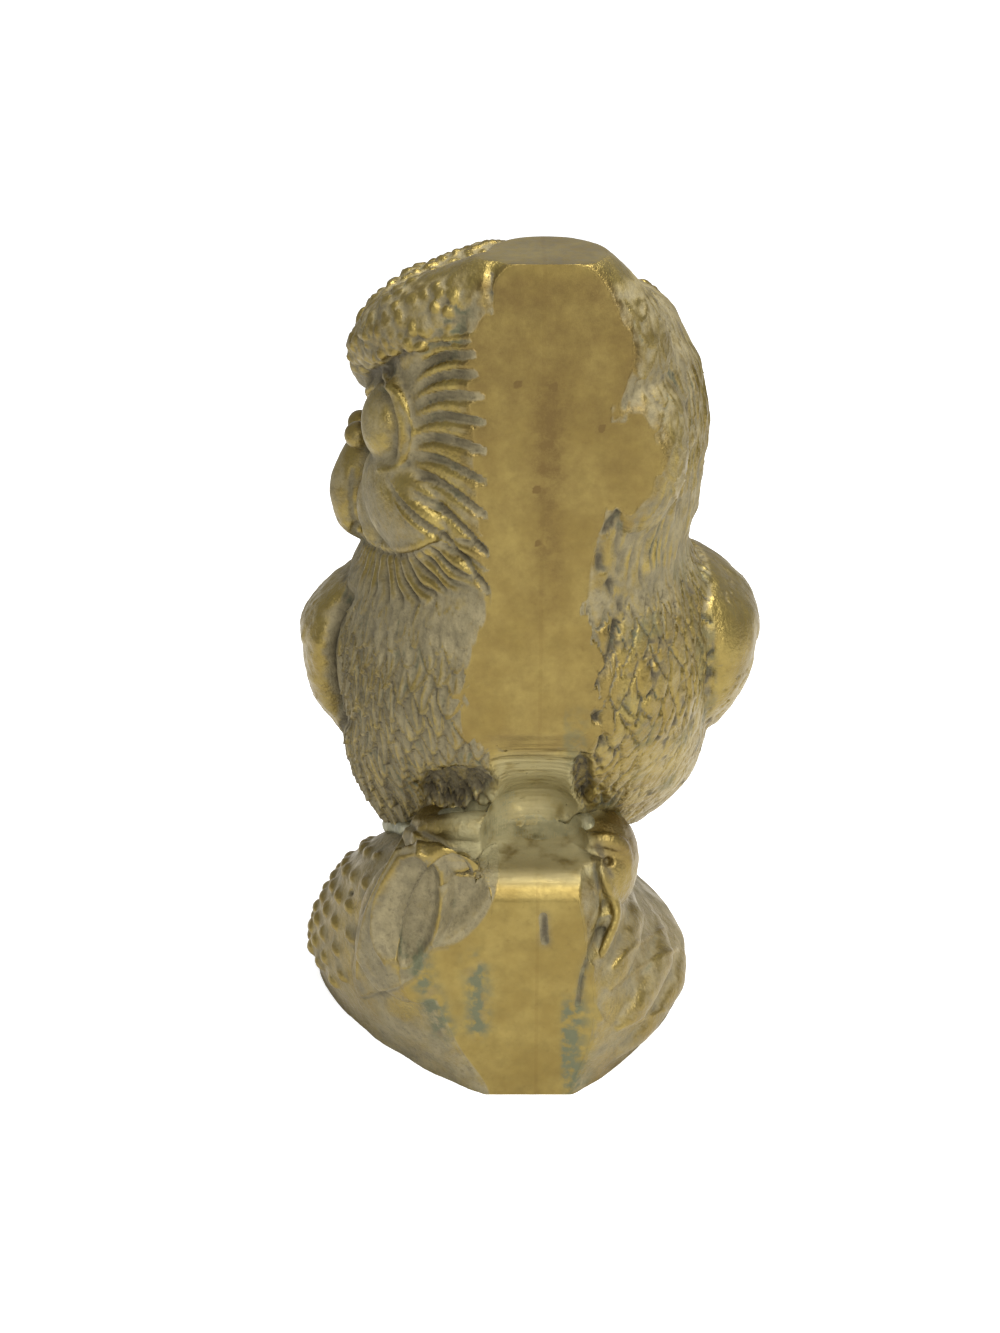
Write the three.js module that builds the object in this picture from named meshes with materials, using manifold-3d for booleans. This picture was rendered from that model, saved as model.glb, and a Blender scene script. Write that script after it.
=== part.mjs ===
// Hollow-cast brass owl perched on a rock mound.
// The figurine is cast as four half shells: two for the bird and two for the mound. Each pair is
// brazed along the upright seam plane x = 0, and the bird is then soldered on to the mound at its
// ankles. The seam is ground flush afterwards, which leaves the wide flat band down the breast.
// Millimetres. +Z is up, the breast faces -Y, and the head is turned to face -X.

import * as THREE from 'three';
import { mergeVertices } from 'three/addons/utils/BufferGeometryUtils.js';
import Module from 'manifold-3d';

// Driving dimensions of the whole figurine
const figureHeight = 125;      // floor to the flat ground on the ear tufts
const groundFront = 30;        // seam plane of grinding in front, from the upright axis
const groundBack = 27;         // the same behind
const wall = 3;                // thickness of the castings
const brazeWidth = 0.5;        // brazing metal between two half shells

// Joint between the ankles and the mound: it slopes down towards the tail
const jointHeight = 30;        // at the upright axis
const jointSlope = 0.5;        // fall per millimetre towards the back
const solderThickness = 1.2;
const solderProud = 0.6;       // fillet of solder that stands out round the ankles
const solderGap = 0.1;
const ventRadius = 4;          // core hole through ankles, solder and mound
const ventOffset = 9;          // from the seam plane, on the face side
const ventLength = 24;

// Body of the bird
const waistLeft = 22;
const waistRight = 13;
const waistFront = 18.5;
const waistBack = 21;
const thighHeight = 37;
const bellyHeight = 45;
const bellyLeft = 29.4;
const bellyRight = 26;
const breastHeight = 60;
const breastLeft = 29.6;
const breastRight = 26.6;
const shoulderDrop = 6;        // under the neck
const headTall = 45;           // neck to the flat ground on the tufts
const neckHeight = figureHeight - headTall;
const neckLeft = 25;
const neckRight = 22.2;
const neckDip = 3;             // how far the nape of the neck lies in from the ground plane behind

// Head
const cheekHeight = neckHeight + 8;
const eyeRise = 11.5;          // eyes over cheeks
const eyeHeight = cheekHeight + eyeRise;
const headLeft = 23.8;
const headRight = 23.8;
const headProud = 1.7;         // how far the casting stood past each ground plane before grinding
const browHeight = eyeHeight + 9.5;
const tuftRise = 5;            // tufts over the crown between them
const crownHeight = figureHeight - tuftRise;
const headTilt = 0.16;         // fall of the brow line per millimetre towards the far side
const faceTurn = 3;            // degrees that the face looks in front of -X

// Face
const eyeAngle = 28;           // degrees between the beak and each eye, round the head
const eyeWidth = 8.4;
const eyeTall = 11;
const eyeProud = 2.2;
const lidThickness = 1.3;
const lidStart = -30;          // degrees round the eye, from its outer corner
const lidStep = 40;
const beakWidth = 10.5;
const beakLength = 17;
const beakReach = 2.4;         // how far the beak stands out of the face
const cereRadius = 2.3;
const cheekAngle = 31;         // degrees between the beak and each cheek
const cheekWidth = 17;
const cheekTall = 13.5;
const cheekProud = 3.4;
const browThickness = 10;
const rayCount = 10;           // grooves in each half of the facial disc
const rayWidth = 1.5;
const rayRoots = 15;           // height that the grooves take up beside the eye
const rayTips = 25.5;          // and at the rim of the facial disc
const rayArch = 1.2;           // how far each groove bows up
const discInner = 45;          // degrees from the beak to the roots of the grooves
const discRim = 72;            // and to the rim of the facial disc
const swellingWidth = 18;      // behind the ear on the far side
const swellingDepth = 15;
const swellingTall = 25;
const tuftWidth = 15;
const tuftDepth = 17;

// Wings and tail
const wingTop = neckHeight;
const wingReachLeft = 34.8;
const wingReachRight = 33.6;
const wingSetBack = 3;         // the wing on the face side lies further back and lower
const wingDrop = 2;
const wingWidth = 29;          // front edge to back edge, at its widest
const wingWidest = 61;         // height of that place
const wingTipHeight = 34;
const covertRows = 4;
const covertWidth = 7.6;
const covertLength = 11.5;
const covertThickness = 3.4;
const covertSink = 1.1;        // how far its middle plane lies under the skin of the wing
const covertTurn = 20;         // degrees between neighbours in a row
const covertTop = 8;           // from the top of the wing down to the first row
const covertEnd = 12;          // and from its tip up to the last row
const tailWidth = 17;
const tailThickness = 6;
const tailEnd = 20;            // height of the tail's lower end

// Saddle that a small grinding wheel left between belly and mound, and the pits beside it
const saddleTop = 61.5;
const saddleHeight = 44.5;     // of its deepest place
const saddleDepth = 14;        // behind the front ground plane
const saddleFloor = 38.2;      // top of the mound in front
const saddleEdge = 3.2;        // rounding of the mound's upper front edge
const saddleWidth = 11.5;
const saddleSquare = 1.7;      // 1 makes its plan an oval, more makes it squarer
const legHollow = 4.6;
const legHollowHeight = 47.5;
const legHollowApart = 8.2;    // from the seam plane

// Mound
const footLeft = 33;
const footRight = 26;
const bulgeHeight = 9;
const bulgeLeft = 37;
const bulgeRight = 24.5;
const moundFront = 32.5;
const moundBack = 32;
const ledgeFront = 28.5;       // ledge under the toes
const leafWidth = 19;
const leafLength = 28;
const leafThickness = 2.6;
const leafDish = 3;
const knobRadius = 1.9;
const knobRows = 5;
const knobsPerRow = 4;
const foldCount = 4;
const foldRadius = 3.1;
const foldStep = 5.8;          // from one fold up to the next
const foldRise = 5.5;          // of each fold along its length
const foldStart = 116;         // degrees from the face side
const foldSpread = 62;
const toeRadius = 2.9;
const nearClawDrop = 9.5;      // from the joint down to the tip of the claw
const farClawDrop = 11.5;
const outerClawDrop = 9;

const wasm = await Module();
wasm.setup();
const { Manifold, Mesh } = wasm;
const deg = Math.PI / 180;

// Closed solid from any closed three.js geometry
function solidOf(geometry) {
  const bare = geometry.index ? geometry.toNonIndexed() : geometry.clone();
  bare.deleteAttribute('normal');
  bare.deleteAttribute('uv');
  const merged = mergeVertices(bare, 1e-4);
  const vertProperties = new Float32Array(merged.attributes.position.array);
  const source = merged.index.array;
  const triangles = [];
  for (let i = 0; i < source.length; i += 3) {
    const [a, b, c] = [source[i], source[i + 1], source[i + 2]];
    if (a !== b && b !== c && c !== a) triangles.push(a, b, c);
  }
  return new Manifold(new Mesh({ numProp: 3, vertProperties, triVerts: new Uint32Array(triangles) }));
}

// Mesh of a solid, without the slivers that cuts leave along their edges
const sliver = 0.004;
function geometryOf(solid) {
  const mesh = solid.simplify(sliver).getMesh();
  const geometry = new THREE.BufferGeometry();
  geometry.setAttribute('position', new THREE.BufferAttribute(new Float32Array(mesh.vertProperties), 3));
  geometry.setIndex(new THREE.BufferAttribute(new Uint32Array(mesh.triVerts), 1));
  geometry.computeVertexNormals();
  return geometry;
}

// Closed skin over rings of points, bottom ring first, with a flat fan on each end
function skinOf(rings) {
  const around = rings[0].length;
  const middle = (ring) => ring.reduce((sum, p) => sum.add(p), new THREE.Vector3()).divideScalar(around);
  const points = [...rings.flat(), middle(rings[0]), middle(rings.at(-1))];
  const low = rings.length * around;
  const faces = [];
  for (let j = 0; j < around; j++) {
    const k = (j + 1) % around;
    faces.push(low, k, j);
    const last = (rings.length - 1) * around;
    faces.push(low + 1, last + j, last + k);
    for (let i = 0; i + 1 < rings.length; i++) {
      const [a, b] = [i * around, (i + 1) * around];
      faces.push(a + j, a + k, b + k);
      faces.push(a + j, b + k, b + j);
    }
  }
  const geometry = new THREE.BufferGeometry().setFromPoints(points);
  geometry.setIndex(faces);
  return solidOf(geometry);
}

// One rounded section: its reach each way from its own middle, and how steeply it slopes to the back
function section(z, { x = 0, y = 0, left, right, front, back, slope = 0, round = 2 }) {
  return { z, x, y, left, right, front, back, slope, round };
}

function sectionPoint(s, angle) {
  const c = Math.cos(angle);
  const q = Math.sin(angle);
  const x = s.x + Math.sign(c) * Math.abs(c) ** (2 / s.round) * (c > 0 ? s.right : s.left);
  const y = s.y + Math.sign(q) * Math.abs(q) ** (2 / s.round) * (q > 0 ? s.back : s.front);
  return new THREE.Vector3(x, y, s.z - s.slope * y);
}

// A cast form: sections joined by smooth upright curves
class Form {
  constructor(sections) {
    this.sections = sections;
  }

  upright(angle) {
    return new THREE.CatmullRomCurve3(this.sections.map((s) => sectionPoint(s, angle)), false, 'catmullrom');
  }

  // Point of the skin, with the way it faces. Its height is that of its section at the upright axis
  at(angle, height) {
    const curve = this.upright(angle);
    const axis = new THREE.CatmullRomCurve3(
      this.sections.map((s) => new THREE.Vector3(0, 0, s.z)),
      false,
      'catmullrom',
    );
    let [low, high] = [0, 1];
    for (let i = 0; i < 24; i++) {
      const middle = (low + high) / 2;
      if (axis.getPoint(middle).z < height) low = middle;
      else high = middle;
    }
    const point = curve.getPoint(low);
    const up = curve.getTangent(low);
    const along = this.upright(angle + 0.02).getPoint(low).sub(this.upright(angle - 0.02).getPoint(low));
    const out = along.cross(up).normalize();
    return { point, out, up };
  }

  solid(around, rows) {
    const curves = Array.from({ length: around }, (_, j) => this.upright((j / around) * 2 * Math.PI));
    const levels = Array.from({ length: rows + 1 }, (_, i) => i / rows);
    const rings = levels.map((level) => curves.map((curve) => curve.getPoint(level)));
    return skinOf(rings);
  }
}

// The hollow inside a cast form: each section drawn in by the wall and kept behind the ground planes.
// Sections of the roof, above the given height, are lowered by the wall too
function hollowOf(sections, roof = Infinity) {
  return new Form(sections.map((s) => section(s.z > roof ? s.z - wall : s.z, {
    ...s,
    left: Math.max(s.left - wall, 1),
    right: Math.max(s.right - wall, 1),
    front: Math.max(Math.min(s.front, groundFront) - wall, 1),
    back: Math.max(Math.min(s.back, groundBack) - wall, 1),
  })));
}

// Ball, stretched along its own three axes and set on a skin: x across, y up the skin, z out of it
function bead({ point, out, up }, across, tall, thick, sink = 0, detail = 10) {
  const side = new THREE.Vector3().crossVectors(up, out).normalize();
  const rise = new THREE.Vector3().crossVectors(out, side).normalize();
  const place = new THREE.Matrix4().makeBasis(side, rise, out);
  place.setPosition(point.clone().addScaledVector(out, -sink));
  const ball = new THREE.SphereGeometry(1, detail + 2, detail - 2);
  ball.scale(across / 2, tall / 2, thick / 2);
  ball.applyMatrix4(place);
  return solidOf(ball);
}

// Rod that follows points and changes its radius evenly from one given value to the next
function rod(points, radii, sides = 8, steps = 10) {
  const curve = new THREE.CatmullRomCurve3(points);
  const { tangents, normals, binormals } = curve.computeFrenetFrames(steps, false);
  const rings = tangents.map((_, i) => {
    const t = i / steps;
    const centre = curve.getPointAt(t);
    const place = t * (radii.length - 1);
    const k = Math.min(Math.floor(place), radii.length - 2);
    const radius = THREE.MathUtils.lerp(radii[k], radii[k + 1], place - k);
    return Array.from({ length: sides }, (_, j) => {
      const a = (j / sides) * 2 * Math.PI;
      return centre.clone()
        .addScaledVector(normals[i], radius * Math.cos(a))
        .addScaledVector(binormals[i], radius * Math.sin(a));
    });
  });
  return skinOf(rings);
}

const joined = (solids) => Manifold.union(solids);

function block(low, high) {
  const size = new THREE.Vector3().subVectors(high, low);
  const box = new THREE.BoxGeometry(size.x, size.y, size.z);
  box.translate((low.x + high.x) / 2, (low.y + high.y) / 2, (low.z + high.z) / 2);
  return solidOf(box);
}

// Slab of space between two heights at the axis, both sloping as the ankle joint does
const space = 200;
function jointSlab(bottom, top) {
  const slab = new THREE.BoxGeometry(2 * space, 2 * space, top - bottom);
  slab.translate(0, 0, (top + bottom) / 2);
  slab.applyMatrix4(new THREE.Matrix4().set(1, 0, 0, 0, 0, 1, 0, 0, 0, -jointSlope, 1, 0, 0, 0, 0, 1));
  return solidOf(slab);
}

// Bird: breast, head and the parts that stand out of them
const birdSections = [
  section(jointHeight - 2, {
    left: waistLeft, right: waistRight, front: waistFront, back: waistBack, slope: jointSlope, round: 2.2,
  }),
  section(jointHeight + 1, {
    left: waistLeft + 2, right: waistRight + 4, front: waistFront, back: waistBack + 1,
    slope: jointSlope, round: 2.2,
  }),
  section(thighHeight, {
    left: bellyLeft - 2, right: bellyRight - 3, front: waistFront + 4, back: groundBack - 3,
    slope: 0.9 * jointSlope, round: 2.1,
  }),
  section(bellyHeight, {
    left: bellyLeft, right: bellyRight, front: waistFront + 9, back: groundBack - 0.5,
    slope: 0.65 * jointSlope,
  }),
  section((bellyHeight + breastHeight) / 2, {
    left: bellyLeft + 0.2, right: bellyRight + 0.4, front: groundFront + 0.2, back: groundBack + 0.8,
    slope: 0.4 * jointSlope,
  }),
  section(breastHeight, {
    left: breastLeft, right: breastRight, front: groundFront + 1.9, back: groundBack + 1.4, slope: 0.06,
  }),
  section(neckHeight - shoulderDrop, {
    left: breastLeft - 2, right: breastRight - 2, front: groundFront + 1.9, back: groundBack - 0.4 * neckDip,
  }),
  section(neckHeight, {
    left: neckLeft, right: neckRight, front: groundFront + 1.4, back: groundBack - neckDip,
  }),
  section(cheekHeight, {
    left: headLeft, right: headRight - 0.6, front: groundFront + headProud, back: groundBack + headProud,
    slope: 0.3 * headTilt,
  }),
  section(eyeHeight, {
    left: headLeft, right: headRight, front: groundFront + headProud + 0.2, back: groundBack + headProud,
    slope: 0.8 * headTilt, round: 2.1,
  }),
  section(browHeight, {
    left: headLeft - 2, right: headRight - 3.2, front: groundFront + headProud, back: groundBack + headProud,
    slope: headTilt, round: 2.1,
  }),
  section(crownHeight - 3.5, {
    left: 0.64 * headLeft, right: 0.6 * headRight, front: 0.9 * groundFront, back: 0.89 * groundBack,
    slope: headTilt,
  }),
  section(crownHeight, {
    left: 0.21 * headLeft, right: 0.19 * headRight, front: 0.57 * groundFront, back: 0.52 * groundBack,
    slope: headTilt,
  }),
];
const birdForm = new Form(birdSections);

// Angle round the head of a place on the face, counted from the beak towards the breast side
const faceAngle = (degrees) => Math.PI + (faceTurn + degrees) * deg;
const onFace = (degrees, height) => birdForm.at(faceAngle(degrees), height);
const faceSides = [1, -1];

function eyes() {
  return faceSides.flatMap((side) => {
    const ball = bead(onFace(side * eyeAngle, eyeHeight), eyeWidth, eyeTall, 2 * eyeProud, 0, 9);
    const halfWidth = (eyeWidth / 2 + lidThickness / 2) / headLeft / deg;
    const lidPath = Array.from({ length: 6 }, (_, i) => lidStart + i * lidStep).map((turn) => onFace(
      side * (eyeAngle + halfWidth * Math.cos(turn * deg)),
      eyeHeight + (eyeTall / 2 + lidThickness / 2) * Math.sin(turn * deg),
    ).point);
    const lid = rod(lidPath, [0.5, lidThickness, lidThickness, lidThickness, 0.6], 6, 8);
    return [ball, lid];
  });
}

// Beak: a stout hook that drops from the cere, with a nostril knob on each side of its root
function beak() {
  const root = onFace(0, cheekHeight + beakLength / 2);
  const tip = onFace(0, cheekHeight - beakLength / 2);
  const ridge = (part, out) => root.point.clone().lerp(tip.point, part).addScaledVector(root.out, out);
  const r = beakReach;
  const hook = rod(
    [ridge(-0.05, -0.4 * r), ridge(0.2, 0.3 * r), ridge(0.5, 0.45 * r), ridge(0.78, 0.35 * r), ridge(1, 0)],
    [2, 0.46 * beakWidth, 0.52 * beakWidth, 0.4 * beakWidth, 1],
    10,
    8,
  );
  const knobs = faceSides.map((side) => {
    const seat = onFace(side * 6, cheekHeight + beakLength / 2 - 0.5);
    return bead(seat, 2 * cereRadius, 2 * cereRadius, 2 * cereRadius, -cereRadius / 2, 8);
  });
  return [hook, ...knobs];
}

// Puffed cheek beside the beak, under each eye
function cheeks() {
  return faceSides.map((side) => {
    const seat = onFace(side * cheekAngle, cheekHeight + 1.5);
    return bead(seat, cheekWidth, cheekTall, 2 * cheekProud, 0.25 * cheekProud, 9);
  });
}

// Heavy brow that sweeps from over the beak, over the eye, up to the ear tuft
function brows() {
  const top = browHeight;
  return faceSides.map((side) => rod(
    [onFace(side * 1, top - 5).point, onFace(side * 0.6 * eyeAngle, top - 0.5).point,
      onFace(side * 1.3 * eyeAngle, top + 3).point, onFace(side * 2.4 * eyeAngle, top + 7.5).point],
    [0.25 * browThickness, 0.5 * browThickness, 0.54 * browThickness, 0.54 * browThickness],
    10,
    7,
  ));
}

// Ear tufts at the two upper corners of the face, standing above the crown
function tufts() {
  const rise = (z, width, depth, y) => section(z, {
    y, left: 0.5 * width, right: 0.58 * width, front: depth / 2, back: depth / 2,
  });
  const inset = tuftDepth / 2 - headProud;
  return [inset - groundFront, groundBack - inset].map((y) => {
    const lean = Math.sign(y);
    const drop = y < 0 ? 0 : 1.4 * headTilt * (groundFront + groundBack - 2 * inset);
    return new Form([
      rise(eyeHeight - drop, 1.3 * tuftWidth, tuftDepth, y - 5 * lean),
      rise(browHeight - drop, 1.9 * tuftWidth, 1.45 * tuftDepth, y - 3 * lean),
      rise(crownHeight - drop, 1.5 * tuftWidth, 1.25 * tuftDepth, y - lean),
      rise(figureHeight - 0.5 - drop, tuftWidth, tuftDepth, y),
      rise(figureHeight + 2.5 - drop, 0.5 * tuftWidth, 0.6 * tuftDepth, y),
    ]).solid(14, 6);
  });
}

// Swelling of the head behind its far ear. Grinding widens the flat band there
function earSwelling() {
  const swelling = new THREE.SphereGeometry(1, 12, 8);
  swelling.scale(swellingWidth / 2, swellingDepth / 2, swellingTall / 2);
  swelling.translate(0.42 * headRight, swellingDepth / 2 - groundFront - 0.75 * headProud, eyeHeight + 0.5);
  return solidOf(swelling);
}

// Grooves between the feathers of the facial disc: they fan from the outer side of each eye to the rim
function discGrooves() {
  return faceSides.flatMap((side) => Array.from({ length: rayCount }, (_, i) => {
    const fan = i / (rayCount - 1) - 0.5;
    const start = eyeHeight - 0.7 - rayRoots * fan;
    const end = eyeHeight - 2.5 - rayTips * fan;
    const path = [0, 0.33, 0.67, 1].map((t) => onFace(
      side * THREE.MathUtils.lerp(discInner, discRim, t),
      THREE.MathUtils.lerp(start, end, t) + rayArch * Math.sin(Math.PI * t),
    ).point);
    return rod(path, [0.3, 0.5 * rayWidth, 0.55 * rayWidth, 0.35 * rayWidth], 3, 4);
  }));
}

// Folded wings: they lie along both sides and draw in towards the tail
function wing(side, reach, setBack, drop) {
  const inner = side > 0 ? breastRight : breastLeft;
  const swell = reach - inner;
  const oval = (z, x, y, halfX, halfY) => section(z - drop, {
    x: side * x, y: y + setBack, left: halfX, right: halfX, front: halfY, back: halfY,
  });
  const half = wingWidth / 2;
  return new Form([
    oval(wingTipHeight, inner - 0.9 * half, 1.24 * half, 0.5 * swell, 0.35 * half),
    oval(wingTipHeight + 0.55 * half, inner - 0.48 * half, 0.83 * half, 0.8 * swell, 0.65 * half),
    oval(
      (wingWidest + wingTipHeight) / 2 + 0.28 * half,
      reach - swell - 0.17 * half,
      0.41 * half,
      swell,
      0.92 * half,
    ),
    oval(wingWidest, reach - swell, 0.24 * half, swell, half),
    oval((wingTop + wingWidest) / 2, reach - swell - 0.1 * half, 0.17 * half, 1.1 * swell, 0.95 * half),
    oval(wingTop - 0.34 * half, inner - 0.28 * half, 0.14 * half, 0.34 * half, 0.72 * half),
    oval(wingTop, inner - 0.55 * half, 0.14 * half, 0.14 * half, 0.3 * half),
  ]);
}

// Overlapping wing coverts, in rows that step half a feather from each other
function coverts(form, side) {
  const rowStep = (wingTop - covertTop - (wingTipHeight + covertEnd)) / (covertRows - 1);
  const middle = side > 0 ? 0 : Math.PI;
  return Array.from({ length: covertRows }, (_, row) => {
    const height = wingTop - covertTop - row * rowStep;
    const count = 3 + (row % 2);
    return Array.from({ length: count }, (_, k) => {
      const turn = (k - (count - 1) / 2) * covertTurn * deg;
      const seat = form.at(middle + side * turn, height);
      seat.out.addScaledVector(seat.up, -0.16).normalize();
      return bead(seat, covertWidth, covertLength, covertThickness, covertSink, 6);
    });
  }).flat();
}

function tail() {
  const width = tailWidth / 2;
  const plate = (z, y, halfX, halfY) => section(z, {
    x: (waistRight - waistLeft) / 4, y, left: halfX, right: halfX, front: halfY, back: halfY, round: 2.6,
  });
  return new Form([
    plate(tailEnd - 6, groundBack - 2.2, 0.8 * width, 0.5 * tailThickness),
    plate(tailEnd + 3, groundBack - 2.4, width, 0.6 * tailThickness),
    plate(bellyHeight - 8, groundBack - 4, 0.9 * width, 0.6 * tailThickness),
    plate(bellyHeight + 6, groundBack - 6, 0.5 * width, 0.5 * tailThickness),
  ]).solid(18, 6);
}

// Saddle that a small wheel ground between belly and mound. It also rounds the mound's front edge.
// It is grown by a margin where a wall has to stay
function saddle(margin = 0) {
  const outside = -10;
  const rim = saddleFloor - saddleEdge;
  const between = (from, to, t) => THREE.MathUtils.lerp(from, to, t);
  const cut = new THREE.SplineCurve([
    [-1, saddleTop + margin],
    [0.38 * saddleDepth, between(saddleTop, saddleHeight, 0.5) + margin],
    [0.82 * saddleDepth + margin, between(saddleTop, saddleHeight, 0.8) + margin / 2],
    [saddleDepth + margin, saddleHeight],
    [0.86 * saddleDepth + margin, between(saddleFloor, saddleHeight, 0.4) - margin / 2],
    [0.5 * saddleDepth, saddleFloor + 0.1 * saddleEdge - margin],
    [saddleEdge, saddleFloor - 0.2 * saddleEdge - margin],
    [0.25 * saddleEdge, between(saddleFloor, rim, 0.4) - margin],
    [-1, rim - 0.2 * saddleEdge - margin],
  ].map(([depth, height]) => new THREE.Vector2(depth, height))).getPoints(18);
  const outline = [
    new THREE.Vector2(outside, saddleTop + margin),
    ...cut,
    new THREE.Vector2(outside, rim - margin),
  ];
  const steps = 8;
  const rings = Array.from({ length: steps + 1 }, (_, i) => {
    const turn = between(0.47, -0.47, i / steps) * Math.PI;
    const reach = Math.cos(turn) ** (1 / saddleSquare);
    const x = Math.sign(turn) * Math.abs(Math.sin(turn)) ** (1 / saddleSquare) * (saddleWidth / 2 + margin);
    return outline.map(({ x: depth, y: height }) => (
      new THREE.Vector3(x, (depth > 0 ? depth * reach : depth) - groundFront, height)
    ));
  });
  return skinOf(rings);
}

// Dark pits between each thigh and the ground seam
function legHollows(margin = 0) {
  return [-1, 1].map((side) => {
    const pit = new THREE.SphereGeometry(legHollow + margin, 10, 6);
    pit.scale(0.9, 1.3, 0.8);
    pit.translate(side * legHollowApart, -waistFront - 3.5, legHollowHeight);
    return solidOf(pit);
  });
}

const vent = (() => {
  const drill = new THREE.CylinderGeometry(ventRadius, ventRadius, ventLength, 20);
  drill.rotateX(Math.PI / 2);
  drill.translate(-ventOffset, 0, jointHeight);
  return solidOf(drill);
})();

const groundSpace = block(
  new THREE.Vector3(-space, -groundFront, 0),
  new THREE.Vector3(space, groundBack, figureHeight),
);
const jointHalf = solderThickness / 2 + solderGap;
const aboveJoint = jointSlab(jointHeight + jointHalf, jointHeight + space);
const belowJoint = jointSlab(jointHeight - space, jointHeight - jointHalf);

const wingForms = [[-1, wing(-1, wingReachLeft, wingSetBack, wingDrop)], [1, wing(1, wingReachRight, 0, 0)]];
const birdHollow = hollowOf(birdSections, browHeight).solid(16, 11)
  .subtract(joined([saddle(wall), ...legHollows(wall)]))
  .intersect(jointSlab(jointHeight + jointHalf + wall, jointHeight + space));
const bird = joined([
  birdForm.solid(28, 20),
  ...eyes(),
  ...beak(),
  ...cheeks(),
  ...brows(),
  ...tufts(),
  earSwelling(),
  ...wingForms.map(([, form]) => form.solid(12, 8)),
  ...wingForms.flatMap(([side, form]) => coverts(form, side)),
  tail(),
])
  .subtract(joined([...discGrooves(), saddle(), ...legHollows()]))
  .intersect(groundSpace)
  .intersect(aboveJoint)
  .subtract(birdHollow)
  .subtract(vent);

// Mound, with its leaf, berries, bark and the toes that grip it
const moundSections = [
  section(0, {
    left: footLeft, right: footRight, front: moundFront, back: moundBack - 2, round: 1.42,
  }),
  section(bulgeHeight, {
    left: bulgeLeft, right: bulgeRight, front: moundFront, back: moundBack,
    slope: 0.1 * jointSlope, round: 1.7,
  }),
  section(0.6 * jointHeight, {
    left: bulgeLeft - 3.5, right: bulgeRight - 8, front: moundFront - 0.6, back: moundBack - 3,
    slope: 0.45 * jointSlope, round: 1.9,
  }),
  section(0.84 * jointHeight, {
    left: waistLeft + 6, right: waistRight + 0.5, front: ledgeFront, back: moundBack - 6,
    slope: 0.9 * jointSlope, round: 2.1,
  }),
  section(jointHeight, {
    left: waistLeft, right: waistRight, front: waistFront + 2, back: waistBack + 1,
    slope: jointSlope, round: 2.2,
  }),
  section(jointHeight + 2, {
    left: waistLeft - 1, right: waistRight - 1, front: waistFront, back: waistBack,
    slope: jointSlope, round: 2.2,
  }),
];
const moundForm = new Form(moundSections);
const sideAngle = (degrees) => Math.PI + degrees * deg;   // from the -X side towards the front

// Dished leaf that hangs over the front of the mound on the face side
function leaf() {
  const seat = moundForm.at(sideAngle(60), 0.72 * jointHeight);
  const blade = new THREE.SphereGeometry(1, 18, 6);
  const position = blade.attributes.position;
  for (let i = 0; i < position.count; i++) {
    const [x, y, z] = [position.getX(i), position.getY(i), position.getZ(i)];
    const rim = Math.hypot(x, y);
    const lean = Math.atan2(y, x);
    const reach = 1 - 0.12 * Math.sin(lean) + 0.07 * Math.cos(3 * lean);
    position.setXYZ(
      i,
      0.5 * leafWidth * reach * x,
      0.5 * leafLength * reach * y,
      0.5 * leafThickness * z + leafDish * (rim * rim - 0.55),
    );
  }
  const side = new THREE.Vector3().crossVectors(seat.up, seat.out).normalize();
  const rise = new THREE.Vector3().crossVectors(seat.out, side).normalize();
  const place = new THREE.Matrix4().makeBasis(side, rise, seat.out);
  place.setPosition(seat.point.clone().addScaledVector(seat.out, 0.9));
  blade.applyMatrix4(new THREE.Matrix4().makeRotationZ(-30 * deg));
  blade.applyMatrix4(place);
  return solidOf(blade);
}

function berries() {
  return Array.from({ length: knobRows }, (_, row) => Array.from({ length: knobsPerRow }, (_, k) => {
    const height = bulgeHeight + 2 + row * 2.1 * knobRadius;
    const seat = moundForm.at(sideAngle(18 - k * 12 + 4 * (row % 2)), height);
    return bead(seat, 2 * knobRadius, 2 * knobRadius, 2 * knobRadius, 0.4, 5);
  })).flat();
}

// Folds of bark on the other side: they rise towards the back, one above the other
function barkFolds() {
  return Array.from({ length: foldCount }, (_, i) => {
    const path = [0, 0.3, 0.65, 1].map((t) => {
      const height = 0.8 * foldRadius + i * foldStep + foldRise * t;
      const seat = moundForm.at(sideAngle(foldStart + foldSpread * t), height);
      return seat.point.addScaledVector(seat.out, -0.35 * foldRadius);
    });
    return rod(path, [0.4 * foldRadius, foldRadius, foldRadius, 0.5 * foldRadius], 8, 7);
  });
}

// Toes: on each side one lies along the ledge and hooks down over its edge, and one lies beside it
function toes() {
  const on = (degrees, drop, lift) => {
    const seat = moundForm.at(sideAngle(degrees), jointHeight - drop);
    return seat.point.addScaledVector(seat.out, lift).setZ(seat.point.z + lift);
  };
  const r = toeRadius;
  const faceToe = rod(
    [on(78, 1.5, 0.5), on(68, 2.2, 1.6), on(60, 3, 1.6), on(57, 0.63 * nearClawDrop, 1),
      on(58, nearClawDrop, 0.2)],
    [0.8 * r, r, 0.85 * r, 0.5 * r, 0.2 * r],
    8,
    10,
  );
  const innerToe = rod([on(70, 2, 0), on(73, 3.5, 0.6), on(75, 5.5, 0)], [0.9 * r, 0.8 * r, 0.6 * r], 8, 5);
  const farToe = rod(
    [on(106, 1, 0.5), on(116, 2.5, 1.6), on(125, 4, 1.4), on(129, 0.65 * farClawDrop, 0.8),
      on(129, farClawDrop, 0)],
    [0.9 * r, r, 0.8 * r, 0.5 * r, 0.2 * r],
    8,
    10,
  );
  const outerToe = rod(
    [on(130, 1, 0), on(142, 2, 0.8), on(150, 0.55 * outerClawDrop, 0.4), on(152, outerClawDrop, 0)],
    [0.8 * r, 0.8 * r, 0.55 * r, 0.2 * r],
    8,
    7,
  );
  return [faceToe, innerToe, farToe, outerToe];
}

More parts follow.
